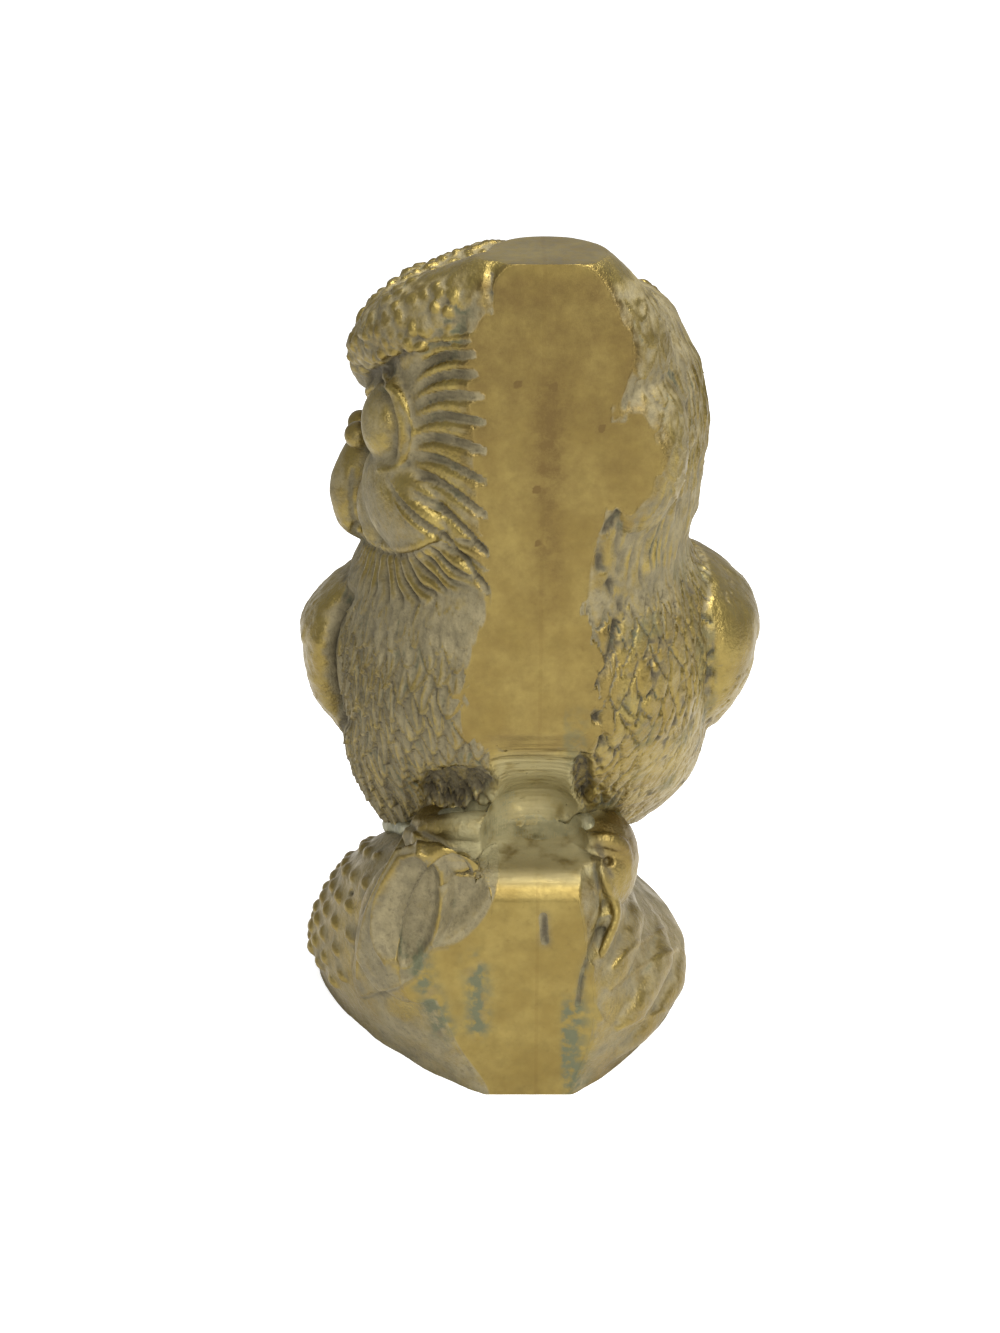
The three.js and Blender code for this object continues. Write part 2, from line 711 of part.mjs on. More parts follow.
const moundHollow = hollowOf([
  section(-4, { ...moundSections[0] }),
  ...moundSections.slice(1, 5),
]).solid(16, 7).intersect(jointSlab(-space, jointHeight - jointHalf - wall));
const mound = joined([moundForm.solid(28, 9), leaf(), ...berries(), ...barkFolds(), ...toes()])
  .subtract(saddle())
  .intersect(groundSpace)
  .intersect(belowJoint)
  .subtract(moundHollow)
  .subtract(vent);

// Solder between ankles and mound: a layer over the whole joint, with a fillet that stands out all round
const solder = new Form([-2, 2].map((z) => section(jointHeight + z, {
  left: waistLeft + solderProud, right: waistRight + solderProud, front: waistFront - 2, back: waistBack + 1,
  slope: jointSlope, round: 2.2,
}))).solid(32, 1)
  .intersect(jointSlab(jointHeight - solderThickness / 2, jointHeight + solderThickness / 2))
  .subtract(vent);

// Each hollow casting is two half shells with the braze between them
const seam = brazeWidth / 2;
const faceSide = block(new THREE.Vector3(-space, -space, -space), new THREE.Vector3(-seam, space, space));
const napeSide = block(new THREE.Vector3(seam, -space, -space), new THREE.Vector3(space, space, space));
const seamSlab = block(new THREE.Vector3(-seam, -space, -space), new THREE.Vector3(seam, space, space));

const brass = { color: 0x8f7a3c, roughness: 0.42, metalness: 1 };
const brassHalf = { color: 0x85713a, roughness: 0.45, metalness: 1 };
const braze = { color: 0x6e5a28, roughness: 0.5, metalness: 1 };
const softSolder = { color: 0x8a8f86, roughness: 0.55, metalness: 1 };

function piece(name, solid, finish) {
  const mesh = new THREE.Mesh(geometryOf(solid), new THREE.MeshStandardMaterial(finish));
  mesh.name = name;
  return mesh;
}

const group = new THREE.Group();
group.add(
  piece('bird_face_half', bird.intersect(faceSide), brass),
  piece('bird_nape_half', bird.intersect(napeSide), brassHalf),
  piece('bird_seam_braze', bird.intersect(seamSlab), braze),
  piece('mound_leaf_half', mound.intersect(faceSide), brass),
  piece('mound_bark_half', mound.intersect(napeSide), brassHalf),
  piece('mound_seam_braze', mound.intersect(seamSlab), braze),
  piece('ankle_solder', solder, softSolder),
);

// The origin is on the floor, under the middle of the figurine's outline
const box = new THREE.Box3().setFromObject(group);
group.position.set(-(box.min.x + box.max.x) / 2, -(box.min.y + box.max.y) / 2, -box.min.z);

export default group;
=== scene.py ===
import itertools
import math

import bmesh
import bpy
import numpy as np
from mathutils import Matrix, Vector


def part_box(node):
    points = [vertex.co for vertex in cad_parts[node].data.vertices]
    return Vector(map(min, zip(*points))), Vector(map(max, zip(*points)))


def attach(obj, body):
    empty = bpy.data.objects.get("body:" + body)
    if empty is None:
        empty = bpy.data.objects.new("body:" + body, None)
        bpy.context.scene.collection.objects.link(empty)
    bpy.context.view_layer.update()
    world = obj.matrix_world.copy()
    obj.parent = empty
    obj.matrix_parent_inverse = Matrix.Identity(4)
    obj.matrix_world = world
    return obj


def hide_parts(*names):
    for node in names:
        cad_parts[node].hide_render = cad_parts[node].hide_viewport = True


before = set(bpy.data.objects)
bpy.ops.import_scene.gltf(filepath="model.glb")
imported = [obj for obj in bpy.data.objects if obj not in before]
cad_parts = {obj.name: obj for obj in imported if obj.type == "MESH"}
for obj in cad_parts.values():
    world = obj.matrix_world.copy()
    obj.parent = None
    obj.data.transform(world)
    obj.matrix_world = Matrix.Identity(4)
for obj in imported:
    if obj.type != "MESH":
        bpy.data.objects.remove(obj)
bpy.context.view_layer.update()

# Camera
# The photograph looks down at the figurine by 25 degrees from close in front. Lengths in this
# script are millimetres from the seam plane, the upright axis and the floor, until the pieces are
# handed over in metres.
MM = 0.001         # metres
LOOK_DOWN = 25.0
CAMERA_AT = (-5.4, -228.43, 164.21)
LENS = 44.4
SENSOR = 36.0
FRONT = -30.0      # ground band in front

seam_low, seam_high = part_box("bird_seam_braze")
ORIGIN = Vector(((seam_low.x + seam_high.x) / 2, seam_low.y - FRONT * MM, 0.0))

camera_data = bpy.data.cameras.new("camera")
camera_data.lens = LENS
camera_data.sensor_width = SENSOR
camera = bpy.data.objects.new("camera", camera_data)
camera.location = ORIGIN + Vector(CAMERA_AT) * MM
camera.rotation_euler = (math.radians(90.0 - LOOK_DOWN), 0.0, 0.0)
bpy.context.scene.collection.objects.link(camera)
bpy.context.scene.camera = camera
bpy.context.scene.view_settings.view_transform = "Standard"

# Floor and light
# A pale floor runs back into a white background. One wide soft light hangs overhead, a weaker one
# stands in front on the right, and polished metal mirrors a duller room than the camera sees.
FLOOR_SIZE = 6.0
ROOM = (0.62, 0.63, 0.64)


def shader(name):
    """New material, its node tree and its emptied output"""
    material = bpy.data.materials.new(name)
    material.use_nodes = True
    tree = material.node_tree
    tree.nodes.clear()
    return material, tree, tree.nodes.new("ShaderNodeOutputMaterial")


floor_mesh = bmesh.new()
bmesh.ops.create_grid(floor_mesh, x_segments=1, y_segments=1, size=FLOOR_SIZE / 2)
floor_data = bpy.data.meshes.new("floor")
floor_mesh.to_mesh(floor_data)
floor_mesh.free()
floor = bpy.data.objects.new("floor", floor_data)
bpy.context.scene.collection.objects.link(floor)

material, tree, output = shader("pale floor")
path = tree.nodes.new("ShaderNodeLightPath")
paper = tree.nodes.new("ShaderNodeBsdfDiffuse")
paper.inputs["Color"].default_value = (0.86, 0.86, 0.86, 1)
glow = tree.nodes.new("ShaderNodeEmission")
glow.inputs["Color"].default_value = (1, 1, 1, 1)
glow.inputs["Strength"].default_value = 0.62
both = tree.nodes.new("ShaderNodeAddShader")
choose = tree.nodes.new("ShaderNodeMixShader")
tree.links.new(both.inputs[0], paper.outputs[0])
tree.links.new(both.inputs[1], glow.outputs[0])
tree.links.new(choose.inputs[0], path.outputs["Is Camera Ray"])
tree.links.new(choose.inputs[1], paper.outputs[0])
tree.links.new(choose.inputs[2], both.outputs[0])
tree.links.new(output.inputs["Surface"], choose.outputs[0])
floor_data.materials.append(material)

world = bpy.data.worlds.new("room")
bpy.context.scene.world = world
world.use_nodes = True
sky = world.node_tree
sky.nodes.clear()
sky_out = sky.nodes.new("ShaderNodeOutputWorld")
sky_path = sky.nodes.new("ShaderNodeLightPath")
sky_mix = sky.nodes.new("ShaderNodeMixShader")
sky_seen = sky.nodes.new("ShaderNodeBackground")
sky_seen.inputs["Color"].default_value = (1, 1, 1, 1)
sky_light = sky.nodes.new("ShaderNodeBackground")
sky_light.inputs["Color"].default_value = (*ROOM, 1)
sky_light.inputs["Strength"].default_value = 0.85
sky.links.new(sky_mix.inputs[0], sky_path.outputs["Is Camera Ray"])
sky.links.new(sky_mix.inputs[1], sky_light.outputs[0])
sky.links.new(sky_mix.inputs[2], sky_seen.outputs[0])
sky.links.new(sky_out.inputs["Surface"], sky_mix.outputs[0])


def soft_light(name, place, target, size, power):
    """Round soft light that looks at its target"""
    data = bpy.data.lights.new(name, "AREA")
    data.shape = "DISK"
    data.size = size
    data.energy = power
    light = bpy.data.objects.new(name, data)
    light.location = ORIGIN + Vector(place) * MM
    aim = Vector(target) * MM + ORIGIN - light.location
    light.rotation_euler = aim.to_track_quat("-Z", "Y").to_euler()
    bpy.context.scene.collection.objects.link(light)


soft_light("overhead", (110, -60, 620), (0, 0, 60), 0.32, 4.6)
soft_light("front right", (150, -520, 380), (0, 0, 60), 0.45, 3.2)


# Bird
# Hollow casting of a perched owl in two half shells of brass, brazed along the upright seam. The
# seam is ground flush afterwards, which leaves a flat band from the head down to the feet.

# Bird: rounded forms
# A form is a stack of rounded sections, joined by smooth upright curves. Turns are degrees round
# the axis from the side that the face looks to: the breast is at 90 and the nape at 180.
ROW = 9            # values in a full row


def curve(share, start, end, leaving, arriving):
    """Smooth way from start to end with the given slopes at both"""
    return ((2 * share ** 3 - 3 * share ** 2 + 1) * start + (share ** 3 - 2 * share ** 2 + share) * leaving
            + (3 * share ** 2 - 2 * share ** 3) * end + (share ** 3 - share ** 2) * arriving)


class Form:
    """Stack of sections. Row: height, left, right, front, back, fall to the back, squareness, x, y"""

    def __init__(self, rows):
        self.rows = np.array([row + (0.0,) * (ROW - len(row)) for row in rows], float)
        self.levels = self.rows[:, 0]
        self.slopes = np.gradient(self.rows, self.levels, axis=0)

    def at(self, height):
        """The section at each height"""
        height = np.clip(height, self.levels[0], self.levels[-1])
        low = np.clip(np.searchsorted(self.levels, height, "right") - 1, 0, len(self.levels) - 2)
        rise = (self.levels[low + 1] - self.levels[low])[..., None]
        share = (height - self.levels[low])[..., None] / rise
        leaving, arriving = self.slopes[low] * rise, self.slopes[low + 1] * rise
        return curve(share, self.rows[low], self.rows[low + 1], leaving, arriving)

    def point(self, turn, height, fill=1.0):
        """Place on the skin. With a fill of 0 it is the middle of the section"""
        turn, height = np.broadcast_arrays(np.radians(np.asarray(turn, float)), np.asarray(height, float))
        _, left, right, front, back, fall, square, mid_x, mid_y = np.moveaxis(self.at(height), -1, 0)
        side, depth = -np.cos(turn), -np.sin(turn)
        x = mid_x + fill * np.sign(side) * np.abs(side) ** (2 / square) * np.where(side > 0, right, left)
        y = mid_y + fill * np.sign(depth) * np.abs(depth) ** (2 / square) * np.where(depth > 0, back, front)
        return np.stack([x, y, height - fall * y], -1)

    def seat(self, turn, height, lift=0.0):
        """Place on the skin with its axes: to the side, up the skin and out of it"""
        here = self.point(turn, height)
        side = self.point(turn + 1.0, height) - self.point(turn - 1.0, height)
        up = self.point(turn, height + 0.5) - self.point(turn, height - 0.5)
        out = np.cross(up, -side)
        out /= np.linalg.norm(out)
        if np.dot(out, here * (1, 1, 0)) < 0:
            out = -out
        side = np.cross(up, out)
        side /= np.linalg.norm(side)
        up = np.cross(out, side)
        return here + out * lift, np.stack([side, up, out], 1)

    def into(self, parts, around=128, rows=170):
        """Add the closed form to a list of parts"""
        mesh = bmesh.new()
        made = bmesh.ops.create_uvsphere(mesh, u_segments=around, v_segments=rows, radius=1.0)["verts"]
        place = np.array([v.co for v in made])
        row = np.round((np.pi - np.arccos(np.clip(place[:, 2], -1, 1))) / np.pi * rows)
        share = np.clip((row - 1) / (rows - 2), 0, 1)
        pole = (row < 0.5) | (row > rows - 0.5)
        turn = np.degrees(np.arctan2(-place[:, 1], -place[:, 0]))
        height = self.levels[0] + share * (self.levels[-1] - self.levels[0])
        spots = self.point(turn, height, np.where(pole, 0.0, 1.0))
        for vert, spot in zip(made, spots):
            vert.co = spot
        parts.append(mesh)


def ball(parts, place, radii, axes=np.eye(3), detail=3):
    """Add a ball, stretched along the given axes"""
    mesh = bmesh.new()
    turn = Matrix(axes.tolist()).to_4x4()
    size = Matrix.Diagonal((*radii, 1.0))
    bmesh.ops.create_icosphere(mesh, subdivisions=detail, radius=1.0,
                               matrix=Matrix.Translation(Vector(place)) @ turn @ size)
    parts.append(mesh)


def smooth_path(points, count):
    """Evenly counted points of a smooth curve through the given ones"""
    points = np.array(points, float)
    slopes = np.gradient(points, axis=0)
    along = np.linspace(0, len(points) - 1, count)
    last = np.minimum(along.astype(int), len(points) - 2)
    share = (along - last)[:, None]
    return curve(share, points[last], points[last + 1], slopes[last], slopes[last + 1])


def roll(parts, points, radii, count=28, detail=2):
    """Row of balls that grows into one rounded ridge"""
    centres = smooth_path(points, count)
    sizes = np.interp(np.linspace(0, len(radii) - 1, count), range(len(radii)), radii)
    for centre, size in zip(centres, sizes):
        ball(parts, centre, (size, size, size), detail=detail)


# Bird: main forms
# Breast, head turned to the side, brows that sweep up into two ear tufts, eyes, hooked beak, puffed
# cheeks, folded wings and tail.
bird_form = Form([
    (25, 21, 12, 17.5, 20, .5, 2.2), (28, 22, 13, 18.5, 21, .5, 2.2), (31, 24, 17, 18.5, 22, .5, 2.2),
    (37, 27.4, 23, 22.5, 24, .45, 2.1), (45, 29.4, 26, 27.5, 26.5, .325, 2),
    (52.5, 29.6, 26.4, 30.2, 27.8, .2, 2), (60, 29.6, 26.6, 31.9, 28.4, .06, 2),
    (74, 27.6, 24.6, 31.9, 25.8, 0, 2), (80, 25, 22.2, 31.4, 24, 0, 2),
    (88, 23.8, 23.2, 31.7, 28.7, .048, 2), (99.5, 23.8, 23.8, 31.9, 28.7, .128, 2.1),
    (109, 21.8, 20.6, 31.7, 28.7, .16, 2.1), (116.5, 15.3, 14.3, 27, 24, .16, 2),
    (120, 5, 4.5, 17, 14, .16, 2),
])
FACE = 3.0         # turn of the beak
EYE = 27.0         # turn from the beak to each eye
EYE_HEIGHT = 99.0
CHEEK = 33.0       # turn from the beak to each cheek

bird = []
bird_form.into(bird)
for side in (1, -1):
    spot, axes = bird_form.seat(FACE + side * EYE, EYE_HEIGHT, -0.4)
    ball(bird, spot, (4.4, 5.2, 3.4), axes, 4)
    lid = []
    for angle in np.radians(range(-80, 171, 25)):
        place = FACE + side * (EYE + 14 * math.cos(angle)), EYE_HEIGHT + 0.2 + 6.6 * math.sin(angle)
        lid.append(bird_form.seat(*place, 0.2)[0])
    roll(bird, lid, (0.5, 0.9, 1.2, 1.4, 1.4, 1.3, 1.2, 0.8), 40)
    spot, axes = bird_form.seat(FACE + side * CHEEK, 89.8, -1.2)
    ball(bird, spot, (10.5, 7.6, 4.4), axes, 4)
    spot, axes = bird_form.seat(FACE + side * 17, 87.5, -0.6)
    ball(bird, spot, (4.5, 6.0, 3.6), axes)
    spot, axes = bird_form.seat(FACE + side * 7, 95.8, 1.7)
    ball(bird, spot, (2.0, 2.0, 2.0), axes)
    brow = [bird_form.seat(FACE + side * turn, height)[0]
            for turn, height in ((1, 104), (17, 108.5), (37, 112), (67, 116.5))]
    roll(bird, brow, (2.5, 5.2, 5.6, 5.4), 36, 3)
root, axes = bird_form.seat(FACE, 94.5)
tip, _ = bird_form.seat(FACE, 80.0)
hook = [root + (tip - root) * share + axes[:, 2] * out
        for share, out in ((-0.05, -1.2), (0.2, 0.6), (0.5, 1.6), (0.78, 1.3), (1, 0))]
roll(bird, hook, (1.6, 3.6, 4.1, 3.4, 1.2), 36, 3)
ball(bird, (10, -23.8, 100), (9, 7.5, 12.5))
for y, fall in ((-23.2, 0.0), (20.2, 9.7)):
    lean = math.copysign(1, y)
    Form([(99.5 - fall, 9.8, 11.3, 8.5, 8.5, 0, 2, 0, y - 5 * lean),
          (109 - fall, 14.2, 16.5, 12.3, 12.3, 0, 2, 0, y - 3 * lean),
          (120 - fall, 11.2, 13, 10.6, 10.6, 0, 2, 0, y - lean),
          (124.5 - fall, 7.5, 8.7, 8.5, 8.5, 0, 2, 0, y),
          (127.5 - fall, 3.8, 4.4, 5.1, 5.1, 0, 2, 0, y)]).into(bird, 64, 60)
for side, reach, inner, back, drop, lean in ((-1, 36.0, 29.6, 3, 2.4, 0.12), (1, 33.6, 26.6, 0, 0, 0)):
    swell = reach - inner
    Form([(z - drop, wide, wide, long, long, lean, 2, side * x, y + back) for z, x, y, wide, long in (
        (34, inner - 13, 18, 0.5 * swell, 5.1), (42, inner - 7, 12, 0.8 * swell, 9.4),
        (51.5, reach - swell - 2.5, 6, swell, 13.3), (61, reach - swell, 3.5, swell, 14.5),
        (69.5, reach - swell - 1.5, 2.5, swell + 0.3, 13.5), (74, inner - 4, 2, 4.6, 10.4),
        (78, inner - 8, 2, 2, 4.4))]).into(bird, 64, 60)
Form([(14, 6.8, 6.8, 3, 3, 0, 2.6, -2.2, 24.8), (23, 8.5, 8.5, 3.6, 3.6, 0, 2.6, -2.2, 24.6),
      (37, 7.6, 7.6, 3.6, 3.6, 0, 2.6, -2.2, 23), (51, 4.2, 4.2, 3, 3, 0, 2.6, -2.2, 21)]).into(bird, 48, 60)

# Bird: skin
# The forms become one closed skin of small even faces, softened like cast metal.
def cast(name, parts, soften, voxel=0.4):
    """One closed skin over all parts"""
    data = bpy.data.meshes.new(name)
    whole = bmesh.new()
    for mesh in parts:
        mesh.to_mesh(data)
        mesh.free()
        whole.from_mesh(data)
    whole.to_mesh(data)
    whole.free()
    obj = bpy.data.objects.new(name, data)
    bpy.context.scene.collection.objects.link(obj)
    remesh = obj.modifiers.new("skin", "REMESH")
    remesh.mode = "VOXEL"
    remesh.voxel_size = voxel
    smooth = obj.modifiers.new("soften", "SMOOTH")
    smooth.factor = 0.5
    smooth.iterations = soften
    skin = bpy.data.meshes.new_from_object(obj.evaluated_get(bpy.context.evaluated_depsgraph_get()))
    bpy.data.objects.remove(obj)
    return skin


bird_skin = cast("bird", bird, 6)

# Bird: patterns
# Repeatable random numbers, soft noise, pebbles and plumage, and lines given as the camera sees
# them, in pixels of a picture 1000 wide.
PICTURE = 1000.0
ASPECT = 4 / 3     # height of the picture to its width


def lottery(*cell):
    """Number from 0 to 1 for each whole-numbered cell"""
    mixed = np.uint32(977)
    for part in cell:
        mixed = (mixed ^ np.asarray(part).astype(np.int64).astype(np.uint32)) * np.uint32(2654435761)
        mixed = mixed ^ (mixed >> np.uint32(15))
    return (mixed >> np.uint32(8)).astype(float) / 2 ** 24


def noise(place, size, seed=0):
    """Soft noise from -1 to 1 with lumps of about the given size"""
    place = place / size
    cell = np.floor(place).astype(int)
    share = place - cell
    share = share * share * (3 - 2 * share)
    total = 0.0
    for corner in itertools.product((0, 1), repeat=3):
        weight = np.prod(np.where(corner, share, 1 - share), axis=1)
        total = total + weight * lottery(*(cell + corner).T, seed)
    return 2 * total - 1


def pebbles(place, size, seed=0):
    """Distance to the nearest of scattered seeds, in their mean spacing"""
    place = place / size
    cell = np.floor(place).astype(int)
    nearest = np.full(len(place), np.inf)
    for offset in itertools.product((-1, 0, 1), repeat=3):
        beside = cell + offset
        seeds = beside + np.stack([lottery(*beside.T, seed + axis) for axis in range(3)], 1)
        nearest = np.minimum(nearest, np.linalg.norm(seeds - place, axis=1))
    return nearest


def near(gap, width):
    """1 on a line, fading within about twice the width"""
    return np.exp(-(gap / width) ** 2)


def plumage(around, up, wide, tall, rim, seed=0):
    """Height of overlapping pointed feathers that hang down, and the way to the edge of the upper one"""
    best = np.zeros(len(around))
    border = np.zeros(len(around))
    for back in range(3):
        row = np.floor(-up / tall) - back
        start = around / wide + 0.5 * (row % 2) + 0.3 * lottery(row, seed)
        column = np.floor(start)
        for beside in (-1, 0, 1):
            mine = column + beside
            luck = lottery(row, mine, seed + 1)
            centre = mine + 0.5 + 0.35 * (luck - 0.5)
            length = 2.5 + 0.5 * lottery(row, mine, seed + 2)
            along = (-up / tall - row + 0.5 * (luck - 0.5)) / length
            off = np.abs(start - centre)
            half = 0.66 * np.sqrt(1 - np.clip(along, 0, 1) ** 2.2) * (0.85 + 0.3 * luck)
            inside = (along > 0) & (along < 1) & (off < half)
            edge = np.clip((half - off) * wide, 0, None)
            lift = 0.3 + 0.5 * along + rim * near(edge, 0.45) + 0.6 * rim * near(off * wide, 0.3)
            lift = np.where(inside, lift * np.clip(edge / 0.25, 0, 1) ** 0.5, 0)
            border = np.where(lift > best, edge, border)
            best = np.maximum(best, lift)
    return best, border


def step(low, high, value):
    """Smooth way from 0 at low to 1 at high"""
    share = np.clip((value - low) / (high - low), 0, 1)
    return share * share * (3 - 2 * share)


def seen(place):
    """Where the camera sees each place"""
    x, y, z = (place - CAMERA_AT).T
    tilt = math.radians(LOOK_DOWN)
    deep = y * math.cos(tilt) - z * math.sin(tilt)
    rise = y * math.sin(tilt) + z * math.cos(tilt)
    scale = PICTURE * ASPECT * LENS / SENSOR / deep
    return np.stack([PICTURE / 2 + scale * x, PICTURE * ASPECT / 2 - scale * rise], 1)


def line_gap(spots, points, closed=False):
    """Distance to a smooth line through points"""
    points = [*points, points[0]] if closed else points
    line = smooth_path(points, 6 * len(points))
    best = np.full(len(spots), np.inf)
    for start, end in zip(line[:-1], line[1:]):
        way = end - start
        share = np.clip((spots - start) @ way / (way @ way), 0, 1)
        best = np.minimum(best, np.linalg.norm(spots - start - share[:, None] * way, axis=1))
    return best


TINY = 1e-12       # keeps a level stretch from dividing by 0


def depth_in(spots, points):
    """Distance to a closed outline: positive inside it, negative outside"""
    gap = line_gap(spots, points, closed=True)
    line = smooth_path([*points, points[0]], 6 * (len(points) + 1))
    inside = np.zeros(len(spots), bool)
    x, y = spots.T
    for (from_x, from_y), (to_x, to_y) in zip(line[:-1], line[1:]):
        crosses = (from_y > y) != (to_y > y)
        inside ^= crosses & (x < from_x + (y - from_y) / (to_y - from_y + TINY) * (to_x - from_x))
    return np.where(inside, gap, -gap)


def read_mesh(data):
    """Places and normals of a mesh's vertices"""
    place = np.empty(len(data.vertices) * 3, np.float32)
    data.vertices.foreach_get("co", place)
    normal = np.empty(len(data.vertices) * 3, np.float32)
    data.vertices.foreach_get("normal", normal)
    return place.reshape(-1, 3).astype(float), normal.reshape(-1, 3).astype(float)


def spread(values, edges, times):
    """Values averaged with those of neighbours, again and again"""
    count = len(values)
    degree = np.bincount(edges.ravel(), minlength=count)[:, None]
    for _ in range(times):
        total = np.stack([np.bincount(edges[:, 0], column[edges[:, 1]], count)
                          + np.bincount(edges[:, 1], column[edges[:, 0]], count) for column in values.T], 1)
        values = 0.5 * values + 0.5 * total / degree
    return values


# Bird: relief
# Everything finer than the rounded forms is a height above the skin, in millimetres. It depends on
# the turn, on the height and on how far the skin stands out of breast and head.
GIRTH = 27.0               # mean radius of the breast, which makes turns lengths


def to_camera(place, normal, sure):
    """Whether each place of the front faces the camera, 0 to 1"""
    way = CAMERA_AT - place
    return step(0.0, sure, (normal * way).sum(1) / np.linalg.norm(way, axis=1)) * step(0, -6, place[:, 1])


place, normal = read_mesh(bird_skin)
x, y, z = place.T
view = seen(place)
facing = to_camera(place, normal, 0.25)
turn = (np.degrees(np.arctan2(-y, -x)) + 90) % 360 - 90
slant = 0.0
for _ in range(5):                                    # closes in on the section that each place belongs to
    _, to_left, to_right, to_front, to_back, slant, *_ = bird_form.at(z + slant * y).T
reach = np.hypot(x / np.where(x < 0, to_left, to_right), y / np.where(y < 0, to_front, to_back))
proud = (reach - 1) * np.hypot(x, y) / reach          # how far the skin lies outside the breast and head

sway = np.stack([noise(place, 5, 1), noise(place, 5, 2)], 1)
around = np.radians(turn) * GIRTH + 0.9 * sway[:, 0]
up = z + 0.9 * sway[:, 1]


def drawn(points, width):
    """How near each place of the front lies to a line of the photograph, 0 to 1"""
    return facing * near(line_gap(view, points), width)


def dotted(spot, outer, inner, squash=1.0):
    """How near each place of the front lies to a point of the photograph, 0 to 1"""
    return facing * step(outer, inner, np.hypot(*((view - spot) * (1, squash)).T))


# Bird: facial disc and ruff
# Grooves curve out from the eye below the brow, and the strokes of the ruff hang below the cheek.
DISC_TURN = 55.0           # inner end of the grooves of the facial disc
DISC_SPAN = 21.0           # turn from there to their outer end
DISC_TOP = (109.6, 113.8)  # height of the first groove at both ends
DISC_PITCH = (2.15, 2.3)   # from groove to groove at both ends
DISC_ARCH = 1.1
DISC_BEND = 0.19           # by how much the pitch grows outwards, from groove to groove
LAST_GROOVE = 8.3
RUFF_STROKE = 1.9

across = (turn - DISC_TURN) / DISC_SPAN
bend = DISC_BEND * across
fall = DISC_PITCH[0] * (1 - across) + DISC_PITCH[1] * across
drop = z - DISC_TOP[0] * (1 - across) - DISC_TOP[1] * across - DISC_ARCH * np.sin(np.pi * across)
ray = -2 * drop / (fall + np.sqrt(np.clip(fall ** 2 - 4 * bend * drop, 0.01, None)))
beside = np.abs(ray - np.round(ray)) * (fall + 2 * bend * ray)
first_turn = 54 - 1.5 * (np.round(ray) > 4.5) - 8 * (np.round(ray) > 7.5)
share = (turn - first_turn) / 9
disc = step(-0.9, -0.3, ray) * step(LAST_GROOVE + 0.6, LAST_GROOVE, ray) * step(0, 1, share)
disc = disc * step(78, 76.2, turn)
grooves = -0.8 * disc * step(0.86, 0.4, beside) + 0.2 * step(-1.4, -0.8, ray) * disc

lower_cheek = np.interp(turn, (0, 15, 30, 47, 55, 62, 75), (84, 83.5, 83.3, 84.3, 85.8, 88, 91))
below = lower_cheek - z
fan = (around - 0.02 * (turn - 25) * below) / RUFF_STROKE + 0.3 * noise(place, 3, 5)
stroke = np.abs(fan - np.round(fan))
ruff = step(0.2, 1.2, below) * step(8.5, 5.5, below + 1.2 * sway[:, 0])
ruff = ruff * step(4, 14, turn) * step(80, 70, turn)
strokes = ruff * (0.25 - 0.9 * near(stroke, 0.22))

# Bird: brow and crown
# Small round beads cover the brow and the top of the head.
BEAD = 1.9

from_bead = pebbles(place + 0.9 * sway[:, :1], BEAD, 11)
beads = np.clip(1 - (from_bead / 0.62) ** 2, 0, 1) ** 0.7 * (0.75 + 0.7 * noise(place, 3.0, 12))
crown = step(108, 113, z + 0.1 * y) * step(-0.5, 0.5, z - 104) + step(104, 108, z) * step(1.5, 3, proud)
crown = np.clip(crown, 0, 1) * (1 - 0.9 * disc) * (1 - 0.85 * step(88, 96, turn) * step(200, 180, turn))
crown = crown * step(123.5, 120, z + 1.2 * sway[:, 1])
brow = crown * (0.65 * beads - 0.4 + 0.3 * noise(place, 1.1, 13))

# Bird: breast
# Pointed feathers stand out low on the face side and soft strands above them. On the far side the
# feathers are rubbed down, so that little more than their edges is left.
FEATHER = (3.1, 3.0)       # width, and way from row to row
STRAND = (3.6, 3.6)
PLATE = (3.0, 3.3)

left = step(100, 88, turn) * step(-80, -60, turn)
low = step(78, 66, z + 2 * sway[:, 1])
breast = step(84, 76, z + 1.5 * sway[:, 0]) * (1 - ruff) * step(1.3, 0.7, proud)
breast = breast * step(150, 130, np.abs(turn - 70))
feathers, feather_edge = plumage(around, up, *FEATHER, 0.3, 21)
strands = noise(np.stack([around + 0.25 * (turn - 60) / 40 * up, 0 * z, 0.22 * up], 1), 1.15, 31)
long_feathers, _ = plumage(around, up, *STRAND, 0.3, 33)
soft = 0.2 * strands + 0.22 * noise(place, 4.5, 32) + 0.5 * (long_feathers - 0.5)
raised = low * (1.9 * feathers - 1.2) * (0.5 + 0.5 * facing) + (1 - low) * soft
astray, awry = 0.8 * noise(place, 6, 49), 0.8 * noise(place, 6, 50)
plates, border = plumage(around + astray, up + awry, *PLATE, 0.2, 51)
rubbed = 0.25 * plates - 0.1 + 0.14 * sway[:, 1] - 0.7 * step(0.7, 0.1, border + 0.35 * noise(place, 1.6, 45))
rubbed = rubbed - 0.5 * step(0.2, 0.6, noise(place, 1.9, 42)) * step(-0.2, 0.3, noise(place, 5, 44))
rubbed = rubbed * (1 - 0.8 * step(66, 54, z) * step(110, 128, turn)) + 0.07 * noise(place, 1.0, 43)
plume = breast * (left * raised + (1 - left) * rubbed)

# Bird: wings, nape and tail
# Coverts lie on the folded wings, scales and hair strokes behind the face, broad feathers on the
# back, and the tail is grooved.
COVERT = (7.0, 5.0)
EAR_SCALE = (3.8, 3.4)
MANTLE = (4.5, 4.2)
TAIL_MIDDLE = -2.2
VANE = 3.4                 # from one groove of the tail to the next

